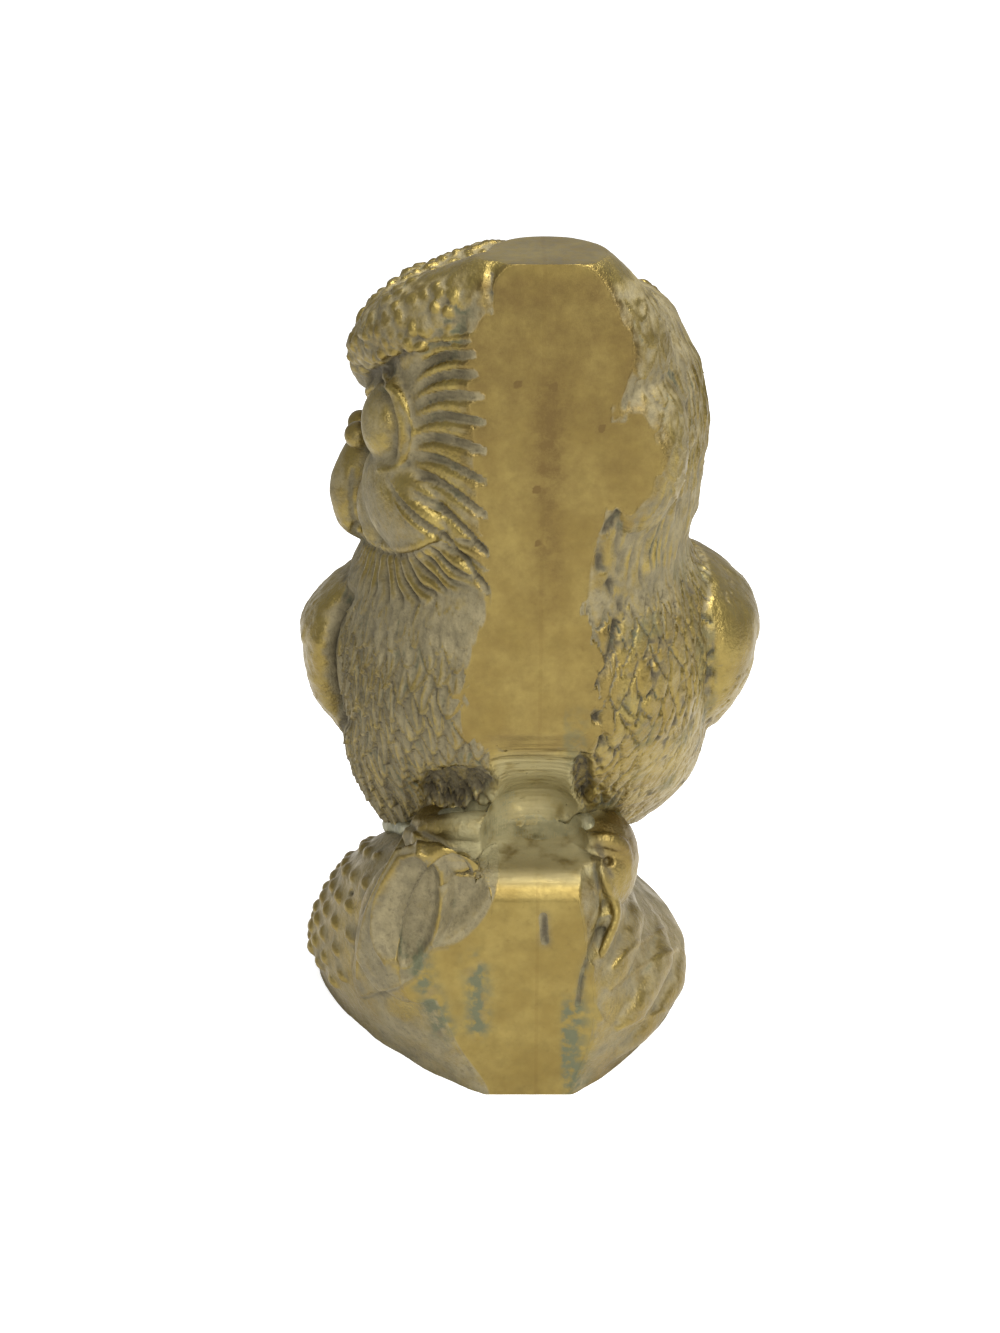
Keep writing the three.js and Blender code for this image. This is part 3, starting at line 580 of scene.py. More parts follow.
wing = step(0.8, 1.8, proud) * step(32, 36, z) * step(80, 76, z) * step(16, 20, np.abs(x))
covert, _ = plumage(y + 0.6 * sway[:, 0], up, *COVERT, 0.2, 61)
pits = step(0.35, 0.75, noise(place, 0.9, 62)) * step(0.0, 0.5, noise(place, 6, 63))
wings = 0.4 * covert * (1 - 0.8 * facing) - 0.15 - 0.22 * pits * (x > 0) + 0.3 * noise(place, 4.0, 64)
wings = wing * (wings + 0.16 * (x < 0) * noise(place, 1.4, 65))

nape = step(100, 112, turn) * step(80, 84, z) * step(114, 106, z) * step(2.5, 1.0, proud)
hair = noise(np.stack([around * 1.5, 0 * z, up * 0.28], 1), 1.0, 71)
scales, scale_edge = plumage(around, up, *EAR_SCALE, 0.2, 85)
ear = step(95, 101, turn) * step(150, 138, turn) * step(87, 91, z) * step(122, 118, z)
scaling = ear * (0.7 * scales - 0.35 + 0.15 * noise(place, 1.2, 86))
naping = nape * (0.4 * hair + 0.2 * noise(place, 2.4, 72)) * step(14, 18, np.hypot(x - 2, y + 6))
back = step(195, 215, turn) * step(84, 78, z) * step(1.3, 0.7, proud)
mantle, _ = plumage(around, up, *MANTLE, 0.25, 81)
behind = back * (0.8 * mantle - 0.4)
tail = step(52, 46, z) * step(19, 22, y) * step(11, 9, np.abs(x - TAIL_MIDDLE))
vanes = -0.5 * tail * near((((x - TAIL_MIDDLE) / VANE + 0.5) % 1 - 0.5) * VANE, 0.4)

# Bird: folds and creases
# Lids, rims and crevices that only the photograph settles, in its pixels.
BROW_SHADOW = ((350, 372), (368, 380), (386, 371), (404, 357))
BEAK_CREASE = ((352, 470), (350, 500), (354, 520), (361, 532))
CHEEK_EDGE = ((360, 530), (380, 544), (402, 549), (424, 543), (440, 531))
LID_HOOD = ((365, 392), (374, 386), (388, 386), (400, 396), (408, 412), (415, 431))
LOWER_LID = ((414, 434), (408, 452), (396, 467), (380, 470))
BAND_LIP = ((491, 272), (489, 300), (490, 326))
DISC_RIM = ((403, 356), (418, 346), (440, 340), (470, 336), (490, 338))
WING_RECESS = ((343, 596), (333, 620), (328, 655), (331, 690), (340, 722))
FAR_WING_CREASE = ((712, 584), (705, 612), (700, 650), (708, 694))
FAR_CREVICE = ((616, 514), (604, 534), (600, 556), (604, 574), (613, 588), (620, 606), (617, 625), (612, 650),
               (597, 700), (604, 745))

details = 0.5 * drawn(LID_HOOD, 3.5) + 0.4 * drawn(LOWER_LID, 3.5) + 0.45 * drawn(CHEEK_EDGE, 4.0)
details = details - 1.3 * drawn(BROW_SHADOW, 6.0) - 0.25 * drawn(BEAK_CREASE, 2.5)
details = details - 0.7 * drawn(BAND_LIP, 4.0) + 0.45 * drawn(DISC_RIM, 3.0)
chain = drawn(FAR_CREVICE, 5.0) * step(-0.5, 0.1, noise(place, 2.0, 48))
details = details - 0.7 * chain
details = details - 2.6 * drawn(WING_RECESS, 8.0) - 0.5 * drawn(FAR_WING_CREASE, 4.0)
details = details - 0.5 * facing * near(line_gap(view, CHEEK_EDGE) - 6, 3.0) * (below > 0)

rough = 0.04 * noise(place, 0.9, 91) + 0.12 * noise(place, 3.2, 92)
eyeball, _ = bird_form.seat(FACE + EYE, EYE_HEIGHT)
smooth_eye = step(5.6, 4.6, np.linalg.norm((place - eyeball) * (1, 1, 0.8), axis=1))
relief = grooves + strokes + brow + plume + wings + scaling + naping + behind + vanes
relief = relief * (1 - smooth_eye) + rough * (1 - 0.8 * smooth_eye) + details
bird_shape = place + normal * relief[:, None]

# Bird: wear, dirt and painted shade
# The far breast, the wing's rim and the tip of the tuft are rubbed bright. The band has brown spots,
# verdigris sits in patches on the far side, and dirt fills grooves and the edges of feathers. Painted shade
# darkens the underside of the brow and the recess inside the near wing.
WING_RIM = ((328, 584), (312, 592), (304, 618), (303, 655), (308, 690), (322, 714))
BAND_PITS = ((518, 390), (555, 393), (602, 430), (537, 495), (538, 548))

bird_rub = 0.18 + 0.25 * step(80, 86, z) + 0.1 * crown + 0.9 * wing * (x > 0)
bird_rub = bird_rub + 0.95 * (1 - left) * breast * step(80, 68, z)
rim_gap = line_gap(view, WING_RIM)
bird_rub = bird_rub + 1.3 * step(24, 6, rim_gap) * (x < -24) * (y < 8) + 0.6 * step(121, 123.5, z)
bird_rub = bird_rub - 1.2 * drawn(WING_RECESS, 9.0)
bird_rub = bird_rub + 0.5 * step(3.0, 1.5, np.abs(proud - 2.5)) * step(95, 105, turn) * step(95, 99, z)
bird_rub = bird_rub - 0.2 * left * (1 - low) * breast - 0.45 * ear * step(96, 104, z)
bird_brown = 0.5 * near(x - 0.8, 1.9) * step(74, 84, z) * step(118, 108, z)
bird_brown = bird_brown + 0.58 + 0.35 * step(80, 120, z + 3 * sway[:, 0]) - 0.5 * step(122, 124.5, z)
bird_brown = bird_brown * step(FRONT + 1.0, FRONT + 0.3, bird_shape[:, 1])
for spot in BAND_PITS:
    bird_brown = bird_brown + 1.5 * dotted(spot, 4.0, 1.5)
bird_green = 0.5 * step(0.1, 0.5, noise(place, 5, 95)) * (turn > 96) * step(84, 76, z) * (1 - wing)

ragged = noise(place, 1.5, 45)
patchy = noise(place, 4.5, 46)
grime_and_shade = left * low * breast * step(0.85 + 0.35 * ragged, 0.15, feather_edge)
grime_and_shade = grime_and_shade + (1 - left) * breast * step(0.5 + 0.5 * ragged, 0.0, border) * step(-0.3, 0.5, patchy)
grime_and_shade = grime_and_shade + 0.9 * (1 - left) * breast * step(0.3, 0.6, noise(place, 1.2, 47)) * step(-0.3, 0.2, patchy)
grime_and_shade = grime_and_shade + 0.35 * (1 - low) * breast * left * step(0.0, 0.5, -strands)
grime_and_shade = grime_and_shade + 0.5 * crown * (0.5 + 0.5 * ragged) * step(0.5, 0.7, from_bead) * step(121, 118, z)
grime_and_shade = grime_and_shade + 0.2 * ruff * near(stroke, 0.18)
grime_and_shade = grime_and_shade + 0.15 * disc * step(0.8, 0.5, beside) * step(-0.4, 0.4, ragged)
# Painted shade under the brow and in the recess inside the near wing, and a darker line along the band's lip
grime_and_shade = grime_and_shade + 0.8 * drawn(BROW_SHADOW, 5.0) + 0.6 * drawn(BAND_LIP, 3.0) + 0.8 * drawn(WING_RECESS, 6.0)
grime_and_shade = grime_and_shade + chain + 0.4 * nape * step(0.1, 0.6, -hair)
grime_and_shade = grime_and_shade + 0.5 * ear * step(0.7 + 0.3 * ragged, 0.1, scale_edge)
saddle_clear = np.where((z > 58) | (y > -12), 1.0, step(5.5, 8, np.abs(x)))
bird_grime_and_shade = grime_and_shade * saddle_clear * step(FRONT, FRONT + 0.4, bird_shape[:, 1])

# Bird: grinding
# Both faces of the seam are ground flat, the top of the tuft too. A small wheel has ground a saddle between
# belly and mound, with pits left on both sides of it that are darkened with painted shade.
BACK = 27.0        # ground band behind
TOP = 124.7        # ground top of the tuft, at the front
TOP_RISE = 0.06
SURE = 0.25        # what is ground off by this much is surely bare
SADDLE_HALF = 6.2
LEG_PITS = (((457, 786), (38, 21), 3.2), ((582, 779), (11, 25), 2.6))
SOLDER_LUMP = (-8, -23.5, 43.5)
saddle_curve = smooth_path([(64, -0.6), (61.5, 0), (53, 5.3), (48, 11.5), (44.5, 14), (41, 12.2), (38.6, 7),
                            (37.8, 3.5), (36.7, 1.4), (35, 0.3), (33.2, -0.3), (31.5, -0.8)], 80)


def soft_floor(value, limit, radius):
    """The larger of two values, rounded where they meet"""
    return limit + radius * np.logaddexp(0, (value - limit) / radius)


def ground(place):
    """Places after grinding, and how surely each lies on a ground face"""
    x, y, z = place.T
    depth = np.interp(z, saddle_curve[::-1, 0], saddle_curve[::-1, 1])
    half = SADDLE_HALF + 1.6 * step(52, 62, z) + 1.8 * step(48, 44, z)
    half = half + 4 * step(39.8, 38.5, z) + 9 * step(37.5, 35.5, z)
    reach = np.clip(1 - (np.abs(x + 0.4) / half) ** 2.6, 0, 1) ** 0.38
    wheel = np.maximum(depth * reach, 0)
    filed = step(0.6, 2.0, wheel) * (0.4 + 0.6 * step(43, 47, z)) * (y < 0)
    limit = FRONT + wheel + 0.1 * filed * noise(np.stack([x * 0.1, 0 * x, z + 0.03 * x], 1), 1.3, 102)
    limit = limit + 0.06 * noise(np.stack([x, 0 * x, z], 1), 14, 103)
    flat = np.clip((limit - y) / SURE, 0, 1)
    y = soft_floor(y, limit, 0.1)
    flat = np.maximum(flat, np.clip((y - BACK) / SURE, 0, 1))
    y = -soft_floor(-y, -BACK, 0.16)
    top = TOP + TOP_RISE * (y - FRONT)
    flat = np.maximum(flat, np.clip((z - top) / SURE, 0, 1))
    z = -soft_floor(-z, -top, 0.16)
    return np.stack([x, y, z], 1), flat, filed * flat


def pitted(place):
    """Pits under the thighs beside the saddle, pushed in and darkened with painted shade"""
    view = seen(place)
    front = step(-14, -18, place[:, 1])
    pit_shade = np.zeros(len(place))
    for middle, radii, deep in LEG_PITS:
        gap = np.hypot(*((view - middle) / radii).T) + 0.2 * noise(place, 1.6, 104)
        pit = step(1.1, 0.6, gap) * front
        place = place + np.stack([0 * gap, deep * pit, 0 * gap], 1)
        pit_shade = np.maximum(pit_shade, pit)
    return place, pit_shade


def smear_and_painted_light_mask(place):
    """Joint metal that the wheel dragged over the saddle, and silvery lumps beside it; its pale colour also
    paints light onto the shaded saddle floor and the front of the mound's top
    """
    x, y, z = place.T
    bowl = step(-14, -17, y) * step(46, 43, z) * step(36, 37.5, z)
    bowl = bowl * step(11, 6, np.abs(x) + 2 * noise(place, 3, 107))
    bowl = 0.8 * bowl * (0.7 + 0.3 * step(-26.5, -22.5, y))
    bowl = bowl + 0.7 * step(43, 46, z) * step(59, 55, z) * step(8, 5, np.abs(x)) * step(-29.5, -28, y)
    lump = step(7, 3.5, np.linalg.norm(place - SOLDER_LUMP, axis=1))
    return np.clip(bowl + lump, 0, 1)


def finish_skin(data, shape, rub, brown, green, grime_and_shade, cleared=0.0, kept=0.0):
    """Grind the skin and write on it what its metal needs to know"""
    shape, pit_shade = pitted(shape)
    ground_shape, flat, filed = ground(shape)
    flat = np.maximum(flat, cleared) * (1 - kept)
    data.vertices.foreach_set("co", ground_shape.astype(np.float32).ravel())
    data.update()
    place, normal = read_mesh(data)
    edges = np.empty(len(data.edges) * 2, np.int32)
    data.edges.foreach_get("vertices", edges)
    edges = edges.reshape(-1, 2)
    softened = spread(place, edges, 5)
    smoothed = spread(softened, edges, 45)
    hollow = ((softened - place) * normal).sum(1)
    shade = ((smoothed - place) * normal).sum(1)
    # The painted shade of the pits is added to the dirt and shade of the last attribute
    for name, values in (("hollow", hollow), ("shade", shade), ("ground", flat), ("filed", filed),
                         ("rub", rub), ("brown", brown), ("green", green), ("smear_and_painted_light", smear_and_painted_light_mask(place)),
                         ("grime_and_shade", np.clip(grime_and_shade + 0.6 * pit_shade, 0, 1))):
        layer = data.attributes.new(name, "FLOAT", "POINT")
        layer.data.foreach_set("value", values.astype(np.float32))


finish_skin(bird_skin, bird_shape, bird_rub, bird_brown, bird_green, bird_grime_and_shade)

# Bird: core hole
# A round hole leads from the hollow mound through the joint into the bird.
VENT = (-9.0, 0.0, 30.0)
VENT_RADIUS = 4.0
VENT_LENGTH = 24.0


def carve(skin, tools):
    """Take closed shapes out of a skin"""
    whole = bpy.data.objects.new(skin.name, skin)
    bpy.context.scene.collection.objects.link(whole)
    for mesh in tools:
        data = bpy.data.meshes.new("tool")
        mesh.to_mesh(data)
        tool = bpy.data.objects.new("tool", data)
        bpy.context.scene.collection.objects.link(tool)
        taken = whole.modifiers.new("carve", "BOOLEAN")
        taken.operation = "DIFFERENCE"
        taken.solver = "MANIFOLD"
        taken.object = tool
    carved = bpy.data.meshes.new_from_object(whole.evaluated_get(bpy.context.evaluated_depsgraph_get()))
    for taken in whole.modifiers:
        bpy.data.objects.remove(taken.object)
    bpy.data.objects.remove(whole)
    return carved


vent = bmesh.new()
bmesh.ops.create_cone(vent, cap_ends=True, segments=40, radius1=VENT_RADIUS, radius2=VENT_RADIUS,
                      depth=VENT_LENGTH, matrix=Matrix.Translation(VENT))
bird_skin = carve(bird_skin, [vent])

# Bird: metal
# Aged cast brass: bare and satin where it is ground or rubbed, under grey-brown patina elsewhere, darker in
# every hollow and with a little verdigris. It also takes painted shade in chosen recesses, and painted light
# from the pale joint metal in the saddle.
SMEAR_AND_PAINTED_LIGHT = (0.33, 0.29, 0.15)                # joint metal dragged over the brass, pale enough to also paint light into the shaded saddle
STAIN = (0.125, 0.082, 0.029)             # brown tarnish on bare metal
VERDIGRIS_COLOUR = (0.11, 0.112, 0.06)


def tinted(colour, red, green, blue):
    """The colour with each of its parts scaled"""
    return colour[0] * red, colour[1] * green, colour[2] * blue


def aged_brass(name, bare, patina, dirt_and_shade):
    """Material that reads where the mesh is ground, hollow, rubbed, stained, darkened by dirt and painted
    shade, and covered with pale joint metal that also paints light
    """
    material, tree, output = shader(name)
    nodes, links = tree.nodes, tree.links

    def node(kind, **settings):
        made = nodes.new(kind)
        for key, value in settings.items():
            setattr(made, key, value)
        return made

    def attribute(key):
        return node("ShaderNodeAttribute", attribute_name=key).outputs["Fac"]

    def spots(size, detail=4.0, roughness=0.6):
        made = node("ShaderNodeTexNoise")
        made.inputs["Scale"].default_value = 1 / (size * MM)
        made.inputs["Detail"].default_value = detail
        made.inputs["Roughness"].default_value = roughness
        links.new(made.inputs["Vector"], coordinates.outputs["Object"])
        return made.outputs["Fac"]

    def ramp(value, low, high, to_low=0.0, to_high=1.0):
        made = node("ShaderNodeMapRange", interpolation_type="SMOOTHSTEP")
        for key, number in (("From Min", low), ("From Max", high), ("To Min", to_low), ("To Max", to_high)):
            made.inputs[key].default_value = number
        links.new(made.inputs["Value"], value)
        return made.outputs["Result"]

    def maths(kind, *values):
        made = node("ShaderNodeMath", operation=kind)
        for socket, value in zip(made.inputs, values):
            if isinstance(value, float):
                socket.default_value = value
            else:
                links.new(socket, value)
        return made.outputs[0]

    def mix(factor, under, over):
        made = node("ShaderNodeMix", data_type="RGBA")
        links.new(made.inputs["Factor"], factor)
        for socket, value in ((made.inputs["A"], under), (made.inputs["B"], over)):
            if isinstance(value, tuple):
                socket.default_value = (*value, 1)
            else:
                links.new(socket, value)
        return made.outputs["Result"]

    coordinates = node("ShaderNodeTexCoord")
    flat, hollow, shade = attribute("ground"), attribute("hollow"), attribute("shade")
    fine = spots(1.1)

    metal = mix(ramp(spots(9.0), 0.35, 0.68), tinted(bare, 1.1, 1.1, 1.1), tinted(bare, 0.82, 0.78, 0.72))
    metal = mix(ramp(spots(2.6, 8.0, 0.7), 0.42, 0.72, 0, 0.45), metal, tinted(bare, 0.62, 0.62, 0.62))
    metal = mix(ramp(fine, 0.60, 0.80, 0, 0.4), metal, STAIN)
    brown = maths("MULTIPLY", attribute("brown"), ramp(spots(3.5, 8.0, 0.75), 0.25, 0.75, 0.4, 1.0))
    metal = mix(brown, metal, STAIN)
    worn = maths("ADD", maths("MULTIPLY", hollow, -4.0), maths("MULTIPLY", shade, -0.6))
    worn = maths("ADD", worn, maths("MULTIPLY", attribute("rub"), 0.9))
    worn = maths("ADD", worn, ramp(spots(4.0), 0.3, 0.7, -0.4, 0.3))
    cover = ramp(worn, 0.0, 1.0, 1.0, 0.0)
    cover = maths("MULTIPLY", cover, ramp(flat, 0.2, 0.9, 1.0, 0.0))
    crust = mix(ramp(spots(3.0), 0.35, 0.65), patina, tinted(patina, 0.74, 0.74, 0.74))
    green = maths("MULTIPLY", ramp(spots(6.5, 6.0), 0.52, 0.66), ramp(hollow, 0.0, 0.1))
    crust = mix(green, crust, VERDIGRIS_COLOUR)
    crust = mix(ramp(spots(0.9, 6.0, 0.7), 0.48, 0.72, 0, 0.5), crust, dirt_and_shade)
    crust = mix(ramp(maths("ADD", hollow, maths("MULTIPLY", shade, 0.2)), 0.05, 0.42, 0.0, 0.62), crust, dirt_and_shade)
    # Dirt, and painted shade in chosen recesses, from the skin; both take the dirt colour
    grime_and_shade = maths("MULTIPLY", attribute("grime_and_shade"), ramp(spots(1.2, 5.0), 0.35, 0.6, 0.55, 1.0))
    cover = maths("MAXIMUM", cover, grime_and_shade)
    crust = mix(maths("MULTIPLY", grime_and_shade, 0.9), crust, dirt_and_shade)
    crusted = mix(cover, metal, crust)
    streaks = maths("MULTIPLY", attribute("green"), ramp(spots(1.6, 6.0), 0.35, 0.6))
    cover = maths("MAXIMUM", cover, streaks)
    # Pale joint metal, which also paints light onto the shaded saddle and the mound's top
    smear_and_painted_light = maths("MULTIPLY", attribute("smear_and_painted_light"), ramp(spots(2.8, 6.0), 0.25, 0.55, 0.35, 0.95))
    smear_and_painted_light = maths("MULTIPLY", smear_and_painted_light, ramp(grime_and_shade, 0.1, 0.5, 1.0, 0.0))
    crusted = mix(smear_and_painted_light, crusted, SMEAR_AND_PAINTED_LIGHT)
    cover = maths("MAXIMUM", cover, smear_and_painted_light)

    surface = node("ShaderNodeBsdfPrincipled")
    links.new(surface.inputs["Base Color"], mix(streaks, crusted, VERDIGRIS_COLOUR))
    links.new(surface.inputs["Metallic"], ramp(cover, 0.0, 1.0, 0.95, 0.35))
    links.new(surface.inputs["Roughness"],
              maths("ADD", ramp(cover, 0.0, 1.0, 0.38, 0.68), ramp(fine, 0.3, 0.7, -0.05, 0.06)))
    surface.inputs["Specular IOR Level"].default_value = 0.3
    grit = node("ShaderNodeBump")
    grit.inputs["Distance"].default_value = 0.3 * MM
    grit.inputs["Strength"].default_value = 0.6
    links.new(grit.inputs["Height"], maths("MULTIPLY", spots(0.55, 3.0), ramp(flat, 0.3, 1.0, 1.0, 0.12)))
    file_marks = node("ShaderNodeMapping")
    file_marks.inputs["Scale"].default_value = (0.06, 0.3, 1.0)
    links.new(file_marks.inputs["Vector"], coordinates.outputs["Object"])
    lines = node("ShaderNodeTexNoise")
    lines.inputs["Scale"].default_value = 1 / (0.9 * MM)
    lines.inputs["Detail"].default_value = 1.5
    links.new(lines.inputs["Vector"], file_marks.outputs["Vector"])
    filing = node("ShaderNodeBump")
    filing.inputs["Distance"].default_value = 0.45 * MM
    filing.inputs["Strength"].default_value = 1.0
    links.new(filing.inputs["Height"], maths("MULTIPLY", lines.outputs["Fac"], attribute("filed")))
    links.new(filing.inputs["Normal"], grit.outputs["Normal"])
    links.new(surface.inputs["Normal"], filing.outputs["Normal"])
    links.new(output.inputs["Surface"], surface.outputs[0])
    return material


cast_brass = aged_brass("cast brass", bare=(0.264, 0.2, 0.062), patina=(0.24, 0.2, 0.107),
                        dirt_and_shade=(0.06, 0.048, 0.028))
braze = aged_brass("braze", bare=(0.248, 0.185, 0.057), patina=(0.205, 0.17, 0.09), dirt_and_shade=(0.07, 0.055, 0.03))

# Bird: pieces
# The skin is parted where the real castings are: along the seam plane and at the ankle joint.
SEAM = 0.25        # half the width of the braze


def cut(mesh, at, away):
    """Take off what lies beyond a plane and close the cut"""
    every = mesh.verts[:] + mesh.edges[:] + mesh.faces[:]
    made = bmesh.ops.bisect_plane(mesh, geom=every, plane_co=at, plane_no=away, clear_outer=True, dist=1e-5)
    rim = [item for item in made["geom_cut"] if isinstance(item, bmesh.types.BMEdge)]
    bmesh.ops.triangle_fill(mesh, edges=rim, use_beauty=False, use_dissolve=False)
    for edge in rim:
        edge.smooth = False


def piece(name, skin, planes, material):
    """Visible piece: what is left of a skin on the near side of all planes"""
    mesh = bmesh.new()
    mesh.from_mesh(skin)
    for at, away in planes:
        cut(mesh, Vector(at), Vector(away))
    bmesh.ops.recalc_face_normals(mesh, faces=mesh.faces)
    for face in mesh.faces:
        face.smooth = True
    bmesh.ops.transform(mesh, matrix=Matrix.Translation(ORIGIN) @ Matrix.Scale(MM, 4), verts=mesh.verts)
    data = bpy.data.meshes.new(name)
    mesh.to_mesh(data)
    mesh.free()
    data.materials.append(material)
    obj = bpy.data.objects.new(name, data)
    bpy.context.scene.collection.objects.link(obj)
    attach(obj, "root")
    return obj


JOINT = 30.0       # ankle joint at the axis
JOINT_FALL = 0.5
SOLDER = 1.2       # thickness of its layer
joint_normal = Vector((0, JOINT_FALL, 1)).normalized()
above = ((0, 0, JOINT + SOLDER / 2), -joint_normal)
face_side = ((-SEAM, 0, 0), (1, 0, 0))
nape_side = ((SEAM, 0, 0), (-1, 0, 0))
slab = (((SEAM, 0, 0), (1, 0, 0)), ((-SEAM, 0, 0), (-1, 0, 0)))
for name, planes, material, slot in (
    ("bird_face_half", (above, face_side), cast_brass, "cast_brass"),
    ("bird_nape_half", (above, nape_side), cast_brass, "cast_brass"),
    ("bird_seam_braze", (above, *slab), braze, "braze"),
):
    made = piece(name + "_look", bird_skin, planes, material)
    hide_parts(name)

# Mound
# Hollow brass casting of a rock, open below, in two half shells brazed and ground like the bird. A
# lobed leaf hangs over its front, berries cover the face side and folds of bark the other, and the
# toes that grip it are cast with it.
WALL = 3.0
BERRY = (1.75, 1.15, 1.2)
BERRY_TURN = 9.5
BERRY_ROW = 3.0
FOLD = 3.1         # radius of a fold of bark
FOLD_RISE = 5.8    # from one fold to the next
mound_form = Form([
    (-4, 36, 26, 35.5, 27, 0, 1.46, 0, 3), (0, 36, 26, 35.5, 27, 0, 1.46, 0, 3),
    (9, 36.8, 24.5, 34.4, 31, .05, 1.7, 0, 1),
    (18, 33.5, 16.5, 34.4, 29, .225, 1.9), (25.2, 28, 13.5, 30.5, 26, .45, 2.1),
    (29, 22.8, 13.3, 22.5, 22.7, .5, 2.2), (30.2, 20, 11, 19, 20, .5, 2.2),
])
mound = []
mound_form.into(mound, 128, 90)
ball(mound, (8.6, -18.4, 34.5), (6.8, 8.4, 8.5))
ball(mound, (-12.5, -18, 38.5), (6.5, 6.2, 5.5))
ball(mound, (-11, -21.6, 39.4), (6.8, 4.4, 4.2))
for points, radii in (
    (((-17, -18.5, 40.6), (-14.6, -22, 42.2), (-11.5, -23.8, 43.4), (-7.6, -24.2, 43.8), (-5.4, -23.6, 42.4)),
     (1.5, 1.9, 2.1, 2.2, 1.9)),
    (((-16.5, -20, 41.6), (-16.8, -23.4, 39.6), (-16.4, -25.6, 36.4), (-14.6, -27.4, 33)),
     (0.7, 0.7, 0.6, 0.3)),
    (((7.2, -23.6, 41), (9.7, -24.2, 41.4), (12.0, -23.4, 40.0), (12.9, -23.0, 37.4), (12.8, -23.4, 34),
      (12.0, -24.6, 31)), (1.3, 1.4, 1.4, 1.3, 1.0, 0.5)),
    (((10, -25.2, 36.7), (11.4, -25.2, 32.1), (11.2, -26.4, 28.5), (9.7, -28.0, 24.8)), (0.6, 0.8, 0.8, 0.6)),
):
    roll(mound, points, radii, 34)
ball(mound, (-11, -28.2, 40.0), (1.8, 1.3, 1.8))
for row, column in itertools.product(range(7), range(5)):
    spot, axes = mound_form.seat(28 - column * BERRY_TURN + 4.5 * (row % 2), 8 + row * BERRY_ROW, -0.35)
    ball(mound, spot, BERRY, axes)
for row in range(4):
    foot = 0.8 * FOLD + FOLD_RISE * row
    fold = [mound_form.seat(116 + 62 * share, foot + 5.5 * share, -0.5 * FOLD)[0]
            for share in (0, 0.3, 0.65, 1)]
    roll(mound, fold, (0.4 * FOLD, FOLD, FOLD, 0.5 * FOLD), 44, 3)
spot, axes = mound_form.seat(58, 20.6, -0.4)
lean = math.radians(-30)
axes = axes @ np.array(((math.cos(lean), -math.sin(lean), 0), (math.sin(lean), math.cos(lean), 0), (0, 0, 1)))
ball(mound, spot, (10.4, 14.5, 3.4), axes, 4)
mound_skin = cast("mound", mound, 4, 0.32)

# Mound: relief
# The leaf has an outer layer and two dished lobes with thin raised rims. The rim of the inner lobe
# lies in the ground face, so the mound is ground once before the leaf is drawn into it.
LEAF = ((409, 826), (398, 852), (382, 878), (370, 902), (360, 925), (357, 950), (355, 976), (362, 996),
        (380, 991), (396, 987), (414, 976), (422, 963), (434, 948), (450, 945), (468, 934), (486, 912),
        (497, 882), (492, 866), (470, 860), (448, 850), (428, 838))
LOBE = ((404, 861), (388, 886), (379, 908), (378, 936), (388, 957), (402, 969), (413, 965), (428, 947),
        (437, 921), (440, 884), (432, 864), (420, 858))
SIDE_LOBE = ((445, 868), (462, 874), (478, 866), (492, 870), (494, 884), (484, 908), (466, 930), (450, 941),
             (438, 941), (443, 905))
STEM = ((421, 829), (421, 846), (424, 858), (431, 872))
MIDRIB = ((442, 874), (441, 900), (438, 925), (432, 946))
OUTER_VEIN = ((412, 832), (402, 851), (385, 880), (372, 908), (364, 940), (362, 975))
FOLD_RIDGE = ((600, 870), (614, 902), (616, 918), (607, 940), (600, 955))
LOW_RIDGE = ((590, 968), (586, 985), (588, 1002), (600, 1018))
FOLDS = (((613, 967), (632, 948), (663, 929)), ((611, 989), (648, 962), (674, 950)),
         ((618, 1029), (663, 1010)))
SIDE_CREASE = ((594, 862), (598, 885), (604, 905), (600, 930), (592, 950), (584, 972), (578, 1004))
CLAW_HOLE = (609, 862)
BERRY_HOLE = (351, 893)
SLOT_PIT = ((543, 918), (545, 942))

place, _ = read_mesh(mound_skin)
cleared = step(0.05, 0.4, FRONT - place[:, 1])
pressed = place.copy()
pressed[:, 1] = np.maximum(place[:, 1], FRONT)
mound_skin.vertices.foreach_set("co", pressed.astype(np.float32).ravel())
mound_skin.update()
place, normal = read_mesh(mound_skin)
x, y, z = place.T
view = seen(place)
facing = to_camera(place, normal, 0.2)
layer, lobe, side_lobe = depth_in(view, LEAF), depth_in(view, LOBE), depth_in(view, SIDE_LOBE)
relief = (0.8 - 1.3 * cleared) * step(-2, 3, layer) - 1.2 * step(-1, 6, lobe) - 0.7 * step(4, 16, lobe)
relief = relief + (0.35 - 0.2 * cleared) * near(lobe + 1.5, 2.0)
relief = relief * facing - facing * 1.7 * step(-1, 13, side_lobe)
relief = relief + 0.5 * drawn(STEM, 3.0) + 0.3 * drawn(MIDRIB, 2.2) + 0.3 * drawn(OUTER_VEIN, 1.8)
relief = relief + 0.6 * drawn(FOLD_RIDGE, 4.5) + 0.6 * drawn(LOW_RIDGE, 4.0) - 0.5 * drawn(SIDE_CREASE, 3.5)
for fold in FOLDS:
    relief = relief + 0.3 * drawn(fold, 3.5)
relief = relief - 1.3 * dotted(CLAW_HOLE, 6.5, 3) - 0.6 * dotted(BERRY_HOLE, 3.5, 1.5)
relief = relief - 0.5 * drawn(SLOT_PIT, 4.5)
relief = relief + 0.04 * noise(place, 0.9, 93) + 0.2 * noise(place, 4.2, 94) * step(-29.5, -28, y)
mound_shape = place + normal * relief[:, None]

